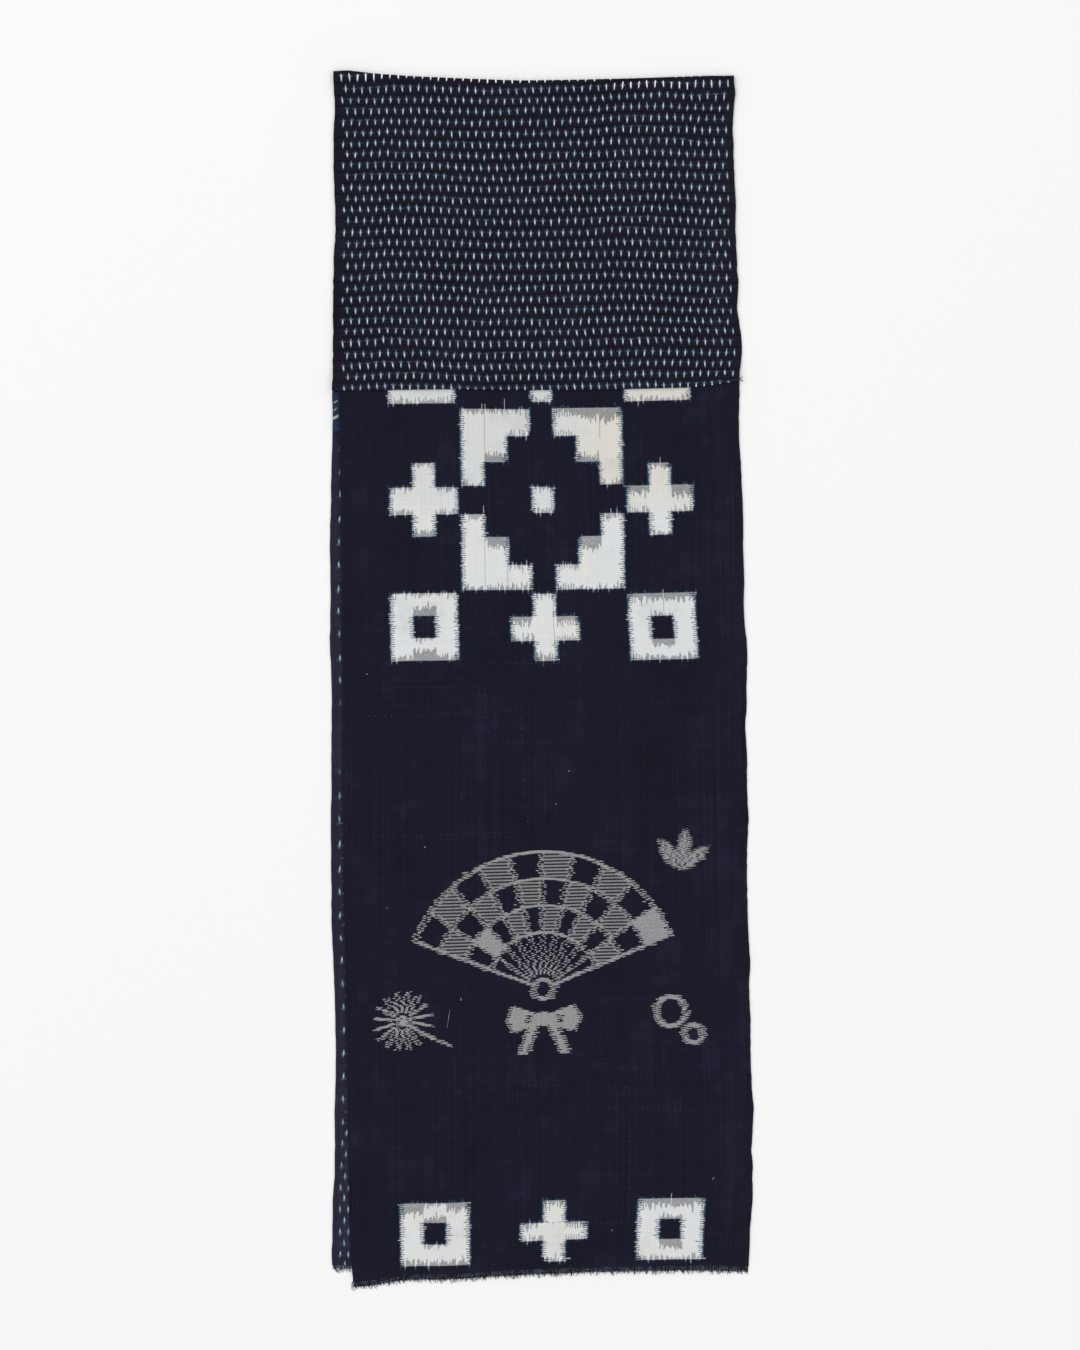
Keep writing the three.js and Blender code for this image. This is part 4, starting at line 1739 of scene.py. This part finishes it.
def new_piece(name: str, points: Values, faces: Values, material: Material,
              spots: Values | None = None) -> Object:
    """Makes a mesh object from points in millimetres.

    Args:
        name: the piece's name.
        points: rows of x, y and z.
        faces: rows of four corners, or of three.
        material: its material.
        spots: for cloth, each point's place on the cloth in millimetres.

    Returns:
        The new object.
    """
    mesh = bpy.data.meshes.new(name)
    sides = faces.shape[1]
    mesh.vertices.add(len(points))
    mesh.vertices.foreach_set("co", (points * MM).astype(np.float32).ravel())
    mesh.loops.add(faces.size)
    mesh.loops.foreach_set("vertex_index", faces.astype(np.int32).ravel())
    mesh.polygons.add(len(faces))
    mesh.polygons.foreach_set("loop_start", np.arange(0, faces.size, sides, dtype=np.int32))
    mesh.update(calc_edges=True)
    if spots is not None:
        layer = mesh.uv_layers.new(name="cloth")
        layer.data.foreach_set("uv", (spots[faces.ravel()] * MM).astype(np.float32).ravel())
    mesh.polygons.foreach_set("use_smooth", np.ones(len(faces), bool))
    mesh.materials.append(material)
    mesh.validate()
    piece = bpy.data.objects.new(name, mesh)
    bpy.context.collection.objects.link(piece)
    log.info("%s: %d points, %d faces", name, len(points), len(faces))
    return piece


def cloth_shell(name: str, middle: Values, thick: Values, spots: Values,
                material: Material) -> Object:
    """Makes a closed thin shell from rows of middle points.

    Args:
        name: the piece's name.
        middle: rows by columns by three, in millimetres.
        thick: rows by columns of thickness.
        spots: rows by columns by two, places on the cloth in millimetres.
        material: its material.

    Returns:
        The new object.
    """
    rows, columns = middle.shape[:2]
    normal = np.cross(np.gradient(middle, axis=1), np.gradient(middle, axis=0))
    normal = normal / np.linalg.norm(normal, axis=2, keepdims=True)
    half = normal * thick[..., None] / 2
    points = np.concatenate([(middle + half).reshape(-1, 3), (middle - half).reshape(-1, 3)])
    points[:, 2] = np.maximum(points[:, 2], 0.02)
    count = rows * columns
    index = np.arange(count).reshape(rows, columns)
    a, b, c, d = index[:-1, :-1], index[:-1, 1:], index[1:, 1:], index[1:, :-1]
    upper = np.stack([a, b, c, d], -1).reshape(-1, 4)
    lower = np.stack([a, d, c, b], -1).reshape(-1, 4) + count
    rim = np.concatenate([index[0, :-1], index[:-1, -1], index[-1, :0:-1], index[:0:-1, 0]])
    following = np.roll(rim, -1)
    wall = np.stack([rim, rim + count, following + count, following], -1)
    faces = np.concatenate([upper, lower, wall])
    both = np.concatenate([spots.reshape(-1, 2)] * 2)
    return new_piece(name, points, faces, material, both)


def set_mask(cloth: Object, name: str, values: Values) -> None:
    """Writes a mask from 0 to 1 onto both faces of a cloth shell.

    Args:
        cloth: the shell.
        name: the mask's name.
        values: one for each place.
    """
    mask = cloth.data.attributes.new(name, "FLOAT", "POINT")
    flat = np.asarray(values, np.float32).ravel()
    mask.data.foreach_set("value", np.concatenate([flat, flat]))


def thread_mesh(name: str, paths: Sequence[Values], radii: Sequence[Values],
                material: Material, sides: int = 5) -> Object:
    """Makes many round threads as one mesh.

    Args:
        name: the piece's name.
        paths: each thread's points, in millimetres.
        radii: each thread's radius at its points.
        material: their material.
        sides: corners of each thread's section.

    Returns:
        The new object.
    """
    all_points, all_faces = [], []
    base = 0
    turn = np.arange(sides) * FULL_TURN / sides
    for path, radius in zip(paths, radii):
        along = np.gradient(path, axis=0)
        along = along / np.linalg.norm(along, axis=1, keepdims=True)
        side = np.cross(along, (0.0, 0.0, 1.0))
        side = side / np.linalg.norm(side, axis=1, keepdims=True)
        over = np.cross(side, along)
        ring = side[:, None] * np.cos(turn)[None, :, None] + over[:, None] * np.sin(turn)[None, :, None]
        points = path[:, None] + ring * radius[:, None, None]
        count = len(path)
        index = base + np.arange(count * sides).reshape(count, sides)
        near, far = index[:-1], index[1:]
        walls = np.stack([near, np.roll(near, -1, 1), np.roll(far, -1, 1), far], -1).reshape(-1, 4)
        start, end = base + count * sides, base + count * sides + 1
        first = np.stack([np.full(sides, start), np.roll(index[0], -1), index[0]], -1)
        last = np.stack([np.full(sides, end), index[-1], np.roll(index[-1], -1)], -1)
        all_points += [points.reshape(-1, 3), path[:1], path[-1:]]
        split = np.concatenate([walls[:, [0, 1, 2]], walls[:, [0, 2, 3]]])
        all_faces += [split, first, last]
        base += count * sides + 2
    return new_piece(name, np.concatenate(all_points), np.concatenate(all_faces), material)


ROW_PLACES = (-186.0, -162.0, -136.0, -109.0, -83.0, -48.0, -4.0, 40.0, 67.0, 93.0, 120.0, 146.0, 186.0)
ROW_LEVELS = (
    -900, 258, 277, 288, 301, 316, 340, 398, 457, 505, 518, 523, 529, 545,
)
ROW_SHIFTS = (
    (0, 0, 0, 0, 0, 0, 0, 0, 0, 0, 0, 0, 0),
    (1.3, 1.5, 2.8, 2.8, 1.1, -0.4, 0.3, 0.6, 1.4, 2.4, 1.8, 2.2, 4.2),
    (1.3, 1.5, 2.8, 2.8, 1.1, -0.4, 0.3, 0.6, 1.4, 2.4, 1.6, 1, 0.8),
    (1.2, 1.4, 2.7, 2.7, 1, -0.5, 0.2, 0.5, 1.3, 2.2, 1.3, 0.7, 0.5),
    (2.3, 2.6, 4, 3.7, 1.9, 0.3, 0.8, 1.2, 2.1, 2.6, 1.6, 0.8, 0.6),
    (1.4, 1.5, 3.1, 2.8, 1.3, 0, 0.2, 0.8, 1.6, 1.4, 0.1, -0.6, -0.7),
    (1, 1.1, 2.7, 2.4, 1.1, -0.3, -0.1, 0.6, 1.3, 0.5, -1, -1.8, -1.8),
    (1.3, 1.5, 2.6, 2.4, 1.5, -0.3, -0.3, 0.4, 1.8, 1.2, 0.2, -1.5, -1.6),
    (1.5, 1.7, 2.9, 1.8, 0.2, -0.9, -0.1, 0, 1.8, 1.8, 0.7, -0.3, -0.4),
    (1, 1, 1.1, 1, -0.1, -0.9, -0.2, 0.3, 2.8, 3, 2.6, 1.7, 1.4),
    (0.6, 0.4, 0.6, 0.9, -0.5, -2.3, -1.4, -0.4, 1, 2.1, 2.4, 2.4, 2),
    (1.1, 1, 0.9, 0.9, -0.4, -1.5, -1, -1.2, 0.9, 2.1, 2.4, 2.4, 2),
    (2.2, 2, 3.5, 3.2, 0.7, -1.3, -1.1, -1.6, 0.8, 2.1, 2.4, 2.4, 2),
    (2.2, 2, 3.5, 3.2, 0.7, -1.3, -1.1, -1.6, 0.8, 2.1, 2.4, 2.4, 2),
)
WORN_PLACES = (-186.0, -150.0, -135.0, 48.0, 66.0, 128.0, 140.0, 186.0)
WORN_REACHES = (6.5, 6.0, 3.2, 3.0, 8.5, 8.5, 5.0, 5.0)
BACK_PLACES = (
    -505, -350, -308, -267, -206, -166, -123, -102, 0, 60, 121, 163, 209, 530,
)
BACK_DRIFTS = (31.7, 32.6, 30.0, 28.2, 26.4, 25.5, 21.0, 18.5, 15.8, 13.2, 11.4, 8.8, 7.0, 0.0)
COLUMN_PLACES = (-160.0, -105.0, -49.0, 7.0, 62.0, 118.0, 146.0)
COLUMN_LEVELS = (253.0, 266.0, 284.0, 303.0, 321.0, 358.0, 377.0, 396.0, 414.0, 451.0, 488.0, 507.0, 526.0)
COLUMN_SHIFTS = (
    (3.1, 3, 2.8, 2.7, 2.2, 1.2, 0),
    (2.9, 2.4, 2.1, 1.8, 1.5, 0.4, -0.5),
    (1.5, 1.2, 0.4, 0.4, 0.3, -0.5, -1.2),
    (1.1, 0.6, 0.1, -0.2, -0.3, -0.6, -1.1),
    (1.5, 1.4, 1.2, 0.7, 0.8, -0.3, -0.9),
    (2.3, 1.7, 1.4, 1.2, 1.1, 0, -0.6),
    (1.8, 1.2, 1.2, 1.1, 0.8, 0, -0.8),
    (1.5, 0.9, 0.8, 0.4, 0.5, -0.3, -1.1),
    (1.7, 1, 0.9, 0.9, 0.6, -0.5, -0.9),
    (1.4, 0.7, 0.6, 1, 0.9, 0, -0.9),
    (1.3, 0.4, 0.6, 1.4, 1.4, 0.3, -0.5),
    (0.2, -0.5, -0.3, 0.5, 0.8, 0.3, 0),
    (-0.3, -0.6, -0.6, -0.3, -0.3, -0.3, -0.8),
)


def read_chart(x: Values, y: Values, places: Sequence[float], levels: Sequence[float],
               shifts: Sequence[Sequence[float]]) -> Values:
    """Reads a chart of small shifts, smoothly between its places and its levels.

    Args:
        x: places across.
        y: places along.
        places: the chart's places across.
        levels: its levels along.
        shifts: a row of shifts for each level.

    Returns:
        The shifts in millimetres.
    """
    x, y = np.broadcast_arrays(np.asarray(x, float), np.asarray(y, float))
    chart = np.array([np.interp(x.ravel(), places, row) for row in shifts])
    levels = np.asarray(levels)
    below = np.clip(np.searchsorted(levels, y.ravel()) - 1, 0, len(levels) - 2)
    share = np.clip((y.ravel() - levels[below]) / (levels[below + 1] - levels[below]), 0, 1)
    share = share * share * (3 - 2 * share)
    column = np.arange(below.size)
    return mix(chart[below, column], chart[below + 1, column], share).reshape(y.shape)


def row_shift(x: Values, y: Values) -> Values:
    """How far the rows of small crosses are drawn up at a place."""
    return read_chart(x, y, ROW_PLACES, ROW_LEVELS, ROW_SHIFTS)


def column_shift(x: Values, y: Values) -> Values:
    """How far the small crosses are drawn to the right at a place."""
    return read_chart(x, y, COLUMN_PLACES, COLUMN_LEVELS, COLUMN_SHIFTS)


@dataclass
class LongCloth:
    """The long cloth with small crosses, from its hem over the fold and down the whole back."""

    columns: int = 120
    front_step: float = 3.0
    back_step: float = 7.0
    fold_rows: int = 10
    hem_thick: float = 1.25
    row_slope: float = 0.0088
    hem_level: float = 253.6
    slide_band: tuple[float, float] = (8.0, 11.0)
    back_slide: float = 2.2
    plain_place: float = -52.0
    plain_reach: float = 44.0
    edge_share: float = 0.55
    groove_depth: float = 0.2
    groove_place: float = 1.6
    groove_half: float = 0.7
    unworn_rim: float = 0.6
    hem_runs: tuple[float, ...] = (0.0, 0.5, 1.1, 1.6, 2.1, 2.8, 4.2, 5.6, 7.0, 7.9, 8.5, 9.1, 10.0)
    fold_runs: tuple[float, ...] = (9.0, 6.5, 4.5, 3.0, 2.0, 1.0, 0.0)
    top_runs: tuple[float, ...] = (1.5, 3.5, 7.0)
    back_start: float = 14.0
    slide_levels: tuple[float, float] = (-400.0, -370.0)
    drawn_levels: tuple[float, float] = (440.0, 520.0)

    def front(self, u: Values, shares: Values) -> tuple[Values, Values, Values]:
        """Middle points, thickness and cloth places of the front part.

        Args:
            u: shares of the width.
            shares: shares of the length.

        Returns:
            The three arrays.
        """
        v = shares[:, None]
        x, y = front_long.spot(u, v)
        run = y - seam_y(x)
        hem = 1 - ease(run, HEM_DEPTH - HEM_SLOPE, HEM_DEPTH + HEM_SLOPE)
        wall = mix(WALL, HEM_WALL, hem)
        z = long_underside(x, y) + wall / 2 + FORM.long(x, y)
        thick = mix(CLOTH_THICK, self.hem_thick, hem) * mix(self.edge_share, 1.0, ease(run, 0.0, 1.2))
        thick = thick - self.groove_depth * np.exp(-(((run - self.groove_place) / self.groove_half) ** 2))
        x = x + FORM.selvedge(u + 0 * v, y, 0.0) * ease(fold_y(x) - y, 2, 14)
        level = y - self.hem_level - self.row_slope * (x + LONG_WIDTH / 2) - row_shift(x, y)
        return np.stack([x, y, z], -1), thick, level

    def build(self, material: Material, *rests: Object) -> Object:
        """Builds the cloth, puts it under the root body and hides the CAD part that it takes the place of.

        Args:
            material: its material.
            rests: the pieces it rests on; not used.

        Returns:
            The piece.
        """
        u = np.linspace(0, 1, self.columns + 1)[None, :]
        length = front_long.length()
        near_hem = np.array(self.hem_runs) / length
        near_fold = 1 - np.array(self.fold_runs) / length
        inner = np.arange(near_hem[-1] + self.front_step / length, near_fold[0], self.front_step / length)
        front, thick, level = self.front(u, np.concatenate([near_hem, inner, near_fold]))
        crest, crest_level = front[-1], level[-1]
        back_top = np.stack(back_long.spot(u[0], np.ones_like(u[0])), -1)
        rows, levels = [front], [level]
        for i in range(1, self.fold_rows + 1):
            share = i / self.fold_rows
            angle = math.pi * (0.5 - share)
            x = mix(crest[:, 0], back_top[:, 0], share)
            y = fold_y(x) - FOLD_RADIUS + FOLD_RADIUS * math.cos(angle)
            z = np.full_like(x, WALL / 2 + FOLD_RADIUS * (1 + math.sin(angle)))
            rows.append(np.stack([x, y, z], -1)[None])
            levels.append((crest_level + FOLD_RADIUS * math.pi * share)[None])
        back_length = back_long.length()
        runs = np.arange(self.back_start, back_length, self.back_step)
        shares = np.concatenate([np.array(self.top_runs) / back_length, runs / back_length, [1.0]])
        v = (1 - shares)[:, None]
        x, y = back_long.spot(u, v)
        x = x + FORM.selvedge(u + 0 * v, y, 7.0) * ease(fold_y(x) - y, 4, 20)
        rows.append(np.stack([x, y, np.full_like(x, WALL / 2)], -1))
        drift = np.interp(y, BACK_PLACES, BACK_DRIFTS)
        levels.append(levels[-1] + (fold_y(x) - FOLD_RADIUS) - y - drift)
        middle = np.concatenate(rows)
        level = np.concatenate(levels)
        wall = np.full(level.shape, CLOTH_THICK)
        wall[: len(thick)] = thick
        across = (u - 0.5) * LONG_WIDTH + 0 * level
        slide = ease(across + LONG_WIDTH / 2, *self.slide_band) * ease(middle[..., 1], *self.slide_levels)
        slide[: len(front) + self.fold_rows] = 0
        drawn = column_shift(middle[..., 0], middle[..., 1])
        crest_drawn = drawn[len(front) - 1].copy()
        drawn[len(front) :] = crest_drawn * ease(middle[len(front) :, :, 1], *self.drawn_levels)
        across = across - self.back_slide * slide - drawn
        cloth = cloth_shell("long_cross_cloth", middle, wall, np.stack([across, level], -1), material)
        past = np.maximum(fold_y(middle[..., 0]) - middle[..., 1] - self.unworn_rim, 0)
        worn = np.exp(-((past / np.interp(middle[..., 0], WORN_PLACES, WORN_REACHES)) ** 2))
        is_back = np.arange(len(level))[:, None] >= len(front) + self.fold_rows
        plain = is_back * np.exp(-(((middle[..., 1] - self.plain_place) / self.plain_reach) ** 4))
        set_mask(cloth, "fold_wear", worn)
        set_mask(cloth, "faded_part", is_back + 0 * level)
        set_mask(cloth, "plain_part", plain)
        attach(cloth, "root")
        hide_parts("cross_cloth")
        return cloth


@dataclass
class BlockCloth:
    """The cloth with the large blocks, from its frayed end up to the end tucked under the hem."""

    columns: int = 136
    step: float = 2.7

    def build(self, material: Material) -> Object:
        """Builds the cloth, puts it under the root body and hides the CAD part that it takes the place of.

        Args:
            material: its material.

        Returns:
            The piece.
        """
        length = block_layer.length()
        u = np.linspace(0, 1, self.columns + 1)[None, :]
        v = np.linspace(0, 1, round(length / self.step) + 1)[:, None]
        x, y = block_layer.spot(u, v)
        z = front_underside(x, y) + WALL / 2 + FORM.block(x, y)
        x = x + FORM.selvedge(u + 0 * v, y, 3.0, left_bumps=False)
        spots = np.stack(np.broadcast_arrays((u - 0.5) * BLOCK_WIDTH, v * length), -1)
        wall = np.full(x.shape, CLOTH_THICK)
        cloth = cloth_shell("large_block_cloth", np.stack([x, y, z], -1), wall, spots, material)
        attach(cloth, "root")
        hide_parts("block_cloth")
        return cloth


@dataclass
class BlueScrap:
    """The small blue patch on the back layer, below the hem at the left."""

    columns: int = 20
    rows: int = 26

    def build(self, material: Material) -> Object:
        """Builds the patch, puts it under the root body and hides the CAD part that it takes the place of.

        Args:
            material: its material.

        Returns:
            The piece.
        """
        left = smooth_curve(BACK_EDGES, "y", "left")
        u = np.linspace(0, 1, self.columns + 1)[None, :]
        v = np.linspace(0, 1, self.rows + 1)[:, None]
        y = mix(SCRAP.low, SCRAP.high, v) + 0 * u
        x = mix(left(y) + SCRAP.inset, SCRAP.right, u)
        z = np.full_like(x, LAYER + WALL / 2)
        spots = np.stack([x - SCRAP.left, y - SCRAP.low], -1)
        patch = cloth_shell(
            "blue_dash_scrap", np.stack([x, y, z], -1), np.full(x.shape, CLOTH_THICK), spots, material
        )
        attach(patch, "root")
        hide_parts("blue_scrap")
        return patch


@dataclass
class FrayedEnd:
    """Loose yarn along a raw end: the last wefts and fine warp ends that taper."""

    name: str
    node: str
    layer: Layer
    underside: Callable[[Values, Values], Values]
    strands: int
    seed: int
    wefts: int = 6
    shortest: float = 3.6
    longest: float = 8.6
    radius: float = 0.31
    weft_radius: float = 0.24
    overlap: float = 1.0
    lowest: float = 0.4
    lowest_weft: float = 0.3
    taper: tuple[float, ...] = (1.0, 1.0, 0.95, 0.85, 0.5)

    def build(self, material: Material) -> Object:
        """Builds the yarn, puts it under the root body and hides the CAD part that it takes the place of.

        Args:
            material: its material.

        Returns:
            The piece.
        """
        rng = np.random.default_rng(self.seed)
        paths, radii = [], []
        middle = WALL / 2
        for i in range(self.strands):
            u = (i + 0.5 + rng.uniform(-0.45, 0.45)) / self.strands
            x, y = (float(value) for value in self.layer.spot(np.array(u), np.array(0.0)))
            clump = 0.5 + 0.5 * math.sin(i * 0.37) * math.sin(i * 0.11 + 1.3)
            reach = mix(self.shortest, self.longest, rng.uniform() ** 1.3 * (0.45 + 0.55 * clump))
            lean = rng.normal(0, 0.2) * reach
            bend = rng.normal(0, 0.12) * reach
            t = np.linspace(0, 1, len(self.taper))
            px = x + lean * t * t + bend * np.sin(math.pi * t)
            py = y + self.overlap - (reach + self.overlap) * t
            start = float(self.underside(np.array(x), np.array(y))) + middle + rng.uniform(-0.12, 0.12)
            pz = np.maximum(start - 0.1 * reach * t * t + rng.uniform(-0.1, 0.25) * t, self.lowest)
            paths.append(np.stack([px, py, pz], -1))
            radii.append(self.radius * np.array(self.taper) * rng.uniform(0.75, 1.25))
        for k in range(self.wefts):
            u = np.linspace(0.002, 0.998, 110)
            x, y = self.layer.spot(u, np.zeros_like(u))
            off = 0.35 + 0.5 * k + 0.3 * Relief(self.seed + k, 6, 6, 1.0)(x, 0 * x)
            z = self.underside(x, y) + middle + 0.12 * np.sin(x * 2.9 + k * 2)
            paths.append(np.stack([x, y - off, np.maximum(z, self.lowest_weft)], -1))
            radii.append(np.full(len(x), self.weft_radius))
        yarn = thread_mesh(self.name, paths, radii, material)
        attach(yarn, "root")
        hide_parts(self.node)
        return yarn


FRONT_FRAY = FrayedEnd(
    name="front_fray_yarn",
    node="front_fray",
    layer=block_layer,
    underside=front_underside,
    strands=480,
    seed=61,
    wefts=9,
    shortest=4.8,
    longest=9.4,
)
BACK_FRAY = FrayedEnd(
    name="back_fray_yarn",
    node="back_fray",
    layer=back_long,
    underside=lambda x, y: 0 * x,
    strands=440,
    seed=67,
)


@dataclass
class MendingStitches:
    """Running stitches that hold hidden patches behind the block cloth."""

    length: float = 2.1
    gap: float = 2.5
    radius: float = 0.24
    jitter: float = 0.35

    def stitch(self, start: Values, end: Values, lift: float) -> tuple[Values, Values]:
        """One stitch that dives into the cloth at both ends.

        Args:
            start: its start.
            end: its end.
            lift: how high it stands.

        Returns:
            Its path and radii.
        """
        t = np.linspace(0, 1, 6)
        spot = mix(start[None], end[None], t[:, None])
        z = block_top(spot[:, 0], spot[:, 1]) + lift * np.sin(math.pi * t) - 0.16
        radius = self.radius * (0.55 + 0.45 * np.sin(math.pi * t))
        return np.concatenate([spot, z[:, None]], 1), radius

    def build(self, material: Material) -> Object:
        """Builds all the stitches as one piece.

        Args:
            material: its material.

        Returns:
            The piece.
        """
        rng = np.random.default_rng(41)
        paths, radii = [], []
        for line in STITCH_LINES:
            for a, b in zip(line.points, line.points[1:]):
                start, end = np.array(a), np.array(b)
                total = float(np.linalg.norm(end - start))
                run = (end - start) / total
                side = np.array([-run[1], run[0]])
                place = rng.uniform(0, self.gap)
                while place + self.length < total:
                    size = self.length * rng.uniform(0.75, 1.2)
                    wobble = side * rng.normal(0, self.jitter)
                    tilt = side * rng.normal(0, 0.12)
                    near = start + run * place + wobble
                    path, radius = self.stitch(near, near + run * size + tilt, 0.3)
                    paths.append(path)
                    radii.append(radius)
                    place += size + self.gap * rng.uniform(0.7, 1.3)
        stitches = thread_mesh("mending_stitches", paths, radii, material)
        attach(stitches, "root")
        return stitches


@dataclass
class HemStitching:
    """Top stitching along the hem, with its two loose ends at the right."""

    inset: float = 1.6
    length: float = 2.3
    gap: float = 1.6
    radius: float = 0.26
    tails: tuple[tuple[tuple[float, float], float, float], ...] = (
        ((177.2, 265.6), -0.5, 0.36),
        ((177.6, 262.1), 0.5, 0.46),
    )

    def height(self, x: Values, y: Values) -> Values:
        """Height of the hem's upper face."""
        return long_underside(x, y) + HEM_WALL / 2 + 0.55

    def build(self, material: Material) -> Object:
        """Builds the stitches and tails as one piece.

        Args:
            material: its material.

        Returns:
            The piece.
        """
        rng = np.random.default_rng(57)
        paths, radii = [], []
        x = -180.5
        t = np.linspace(0, 1, 6)
        while x < 171.0:
            size = self.length * rng.uniform(0.8, 1.2)
            px = x + size * t
            py = seam_y(px) + self.inset + rng.normal(0, 0.12)
            pz = self.height(px, py) + 0.2 * np.sin(math.pi * t) - 0.16
            paths.append(np.stack([px, py, pz], -1))
            radii.append(self.radius * (0.6 + 0.4 * np.sin(math.pi * t)))
            x += size + self.gap * rng.uniform(0.8, 1.2)
        near = np.array([171.5, float(seam_y(171.5)) + self.inset])
        for end, sag, radius in self.tails:
            spot = mix(near, np.array(end), t[:, None])
            py = spot[:, 1] + sag * np.sin(math.pi * t)
            pz = self.height(near[0], near[1]) - 0.5 * t
            paths.append(np.stack([spot[:, 0], py, pz], -1))
            radii.append(radius * np.linspace(0.6, 1.0, len(t)))
        stitches = thread_mesh("hem_top_stitching", paths, radii, material)
        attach(stitches, "root")
        return stitches


class Slub(NamedTuple):
    """A short white fibre caught in the cloth: its place, direction in degrees and length."""

    x: float
    y: float
    turn: float
    length: float


SLUBS = tuple(Slub(*row) for row in (
    (-102.1, -147.8, 20, 1.6), (-135.5, -201.5, 70, 1.4), (-70.4, -281.6, 80, 2.4),
    (-81.4, -299, 82, 16), (24.6, -81, 10, 1.5), (13.2, -110, 45, 1.4), (-153.1, 4.4, 15, 1.5),
    (151.4, -439.1, 60, 2), (62.5, -484.9, 85, 1),
))


@dataclass
class LooseFibres:
    """White specks of fibre on the block cloth."""

    radius: float = 0.2

    def build(self, material: Material) -> Object:
        """Builds the fibres as one piece.

        Args:
            material: its material.

        Returns:
            The piece.
        """
        paths, radii = [], []
        for slub in SLUBS:
            t = np.linspace(-0.5, 0.5, 6)
            turn = math.radians(slub.turn)
            x = slub.x + slub.length * t * math.cos(turn)
            y = slub.y + slub.length * t * math.sin(turn) + 0.3 * np.sin(t * 5)
            paths.append(np.stack([x, y, block_top(x, y) + 0.02], -1))
            thin = 0.5 if slub.length > 5 else 1.0
            radii.append(self.radius * thin * (0.6 + 0.4 * np.cos(math.pi * t)))
        fibres = thread_mesh("loose_white_fibres", paths, radii, material)
        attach(fibres, "root")
        return fibres


@dataclass
class Studio:
    """Pale floor, soft light and a camera straight above."""

    scale: float = 0.88
    centre_x: float = -0.88
    centre_y: float = 3.52
    lens: float = 100.0
    sensor: float = 36.0
    floor_size: float = 9.0
    floor_shade: float = 0.86
    world_strength: float = 0.905
    lamp_power: float = 92.0
    lamp_size: float = 4.0
    lamp_place: Triple = (-1.8, 2.2, 5.5)
    picture_width: int = 1080
    picture_height: int = 1350

    def camera(self) -> None:
        """Places the camera so that the picture's height spans the photographed field."""
        height = self.picture_height * self.scale * MM
        data = bpy.data.cameras.new("camera")
        data.lens = self.lens
        data.sensor_fit = "VERTICAL"
        data.sensor_height = self.sensor
        data.sensor_width = self.sensor * self.picture_width / self.picture_height
        camera = bpy.data.objects.new("camera", data)
        distance = height * self.lens / self.sensor
        camera.location = (self.centre_x * MM, self.centre_y * MM, distance)
        bpy.context.collection.objects.link(camera)
        bpy.context.scene.camera = camera

    def floor(self) -> None:
        """Adds the pale floor."""
        bpy.ops.object.select_all(action="DESELECT")
        bpy.ops.mesh.primitive_plane_add(size=self.floor_size, location=(0, 0, 0))
        floor = bpy.context.object
        floor.name = "floor"
        material = bpy.data.materials.new("pale_floor")
        material.use_nodes = True
        shader = material.node_tree.nodes["Principled BSDF"]
        shader.inputs["Base Color"].default_value = (self.floor_shade,) * 3 + (1,)
        shader.inputs["Roughness"].default_value = 1.0
        shader.inputs["Specular IOR Level"].default_value = 0.0
        floor.data.materials.append(material)
        floor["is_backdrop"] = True

    def light(self) -> None:
        """Adds even light from all sides and a large soft lamp."""
        world = bpy.data.worlds.new("studio")
        bpy.context.scene.world = world
        world.use_nodes = True
        back = world.node_tree.nodes["Background"]
        back.inputs["Color"].default_value = (1, 1, 1, 1)
        back.inputs["Strength"].default_value = self.world_strength
        lamp = bpy.data.lights.new("soft_lamp", "AREA")
        lamp.shape = "SQUARE"
        lamp.size = self.lamp_size
        lamp.energy = self.lamp_power
        holder = bpy.data.objects.new("soft_lamp", lamp)
        holder.location = self.lamp_place
        holder.rotation_euler = (-Vector(self.lamp_place)).to_track_quat("-Z", "Y").to_euler()
        bpy.context.collection.objects.link(holder)
        settings = bpy.context.scene.view_settings
        settings.view_transform = "Standard"
        settings.look = "None"


def write_sizes() -> None:
    """Works out the CAD box and the dressed part's box."""
    boxes = {"cad": cad_box, "visual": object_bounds()}
    plain = {name: [[float(v) for v in corner] for corner in box] for name, box in boxes.items()}


def main() -> None:
    """Builds the pieces in the order in which a maker would lay them."""
    logging.basicConfig(level=logging.INFO, format="%(name)s: %(message)s")
    studio = Studio()
    studio.camera()
    studio.light()
    studio.floor()
    dressing = Dressing(Patterns())
    long_cloth = LongCloth().build(dressing.cross_cloth())
    block = BlockCloth().build(dressing.block_cloth())
    scrap = BlueScrap().build(dressing.scrap())
    front_ends = FRONT_FRAY.build(dressing.thread(ThreadKind.FRONT_FRAY))
    back_ends = BACK_FRAY.build(dressing.thread(ThreadKind.BACK_FRAY))
    stitches = MendingStitches().build(dressing.thread(ThreadKind.MENDING))
    hem = HemStitching().build(dressing.thread(ThreadKind.TOPSTITCH))
    fibres = LooseFibres().build(dressing.thread(ThreadKind.SLUB))
    write_sizes()


if __name__ == "__main__":
    main()
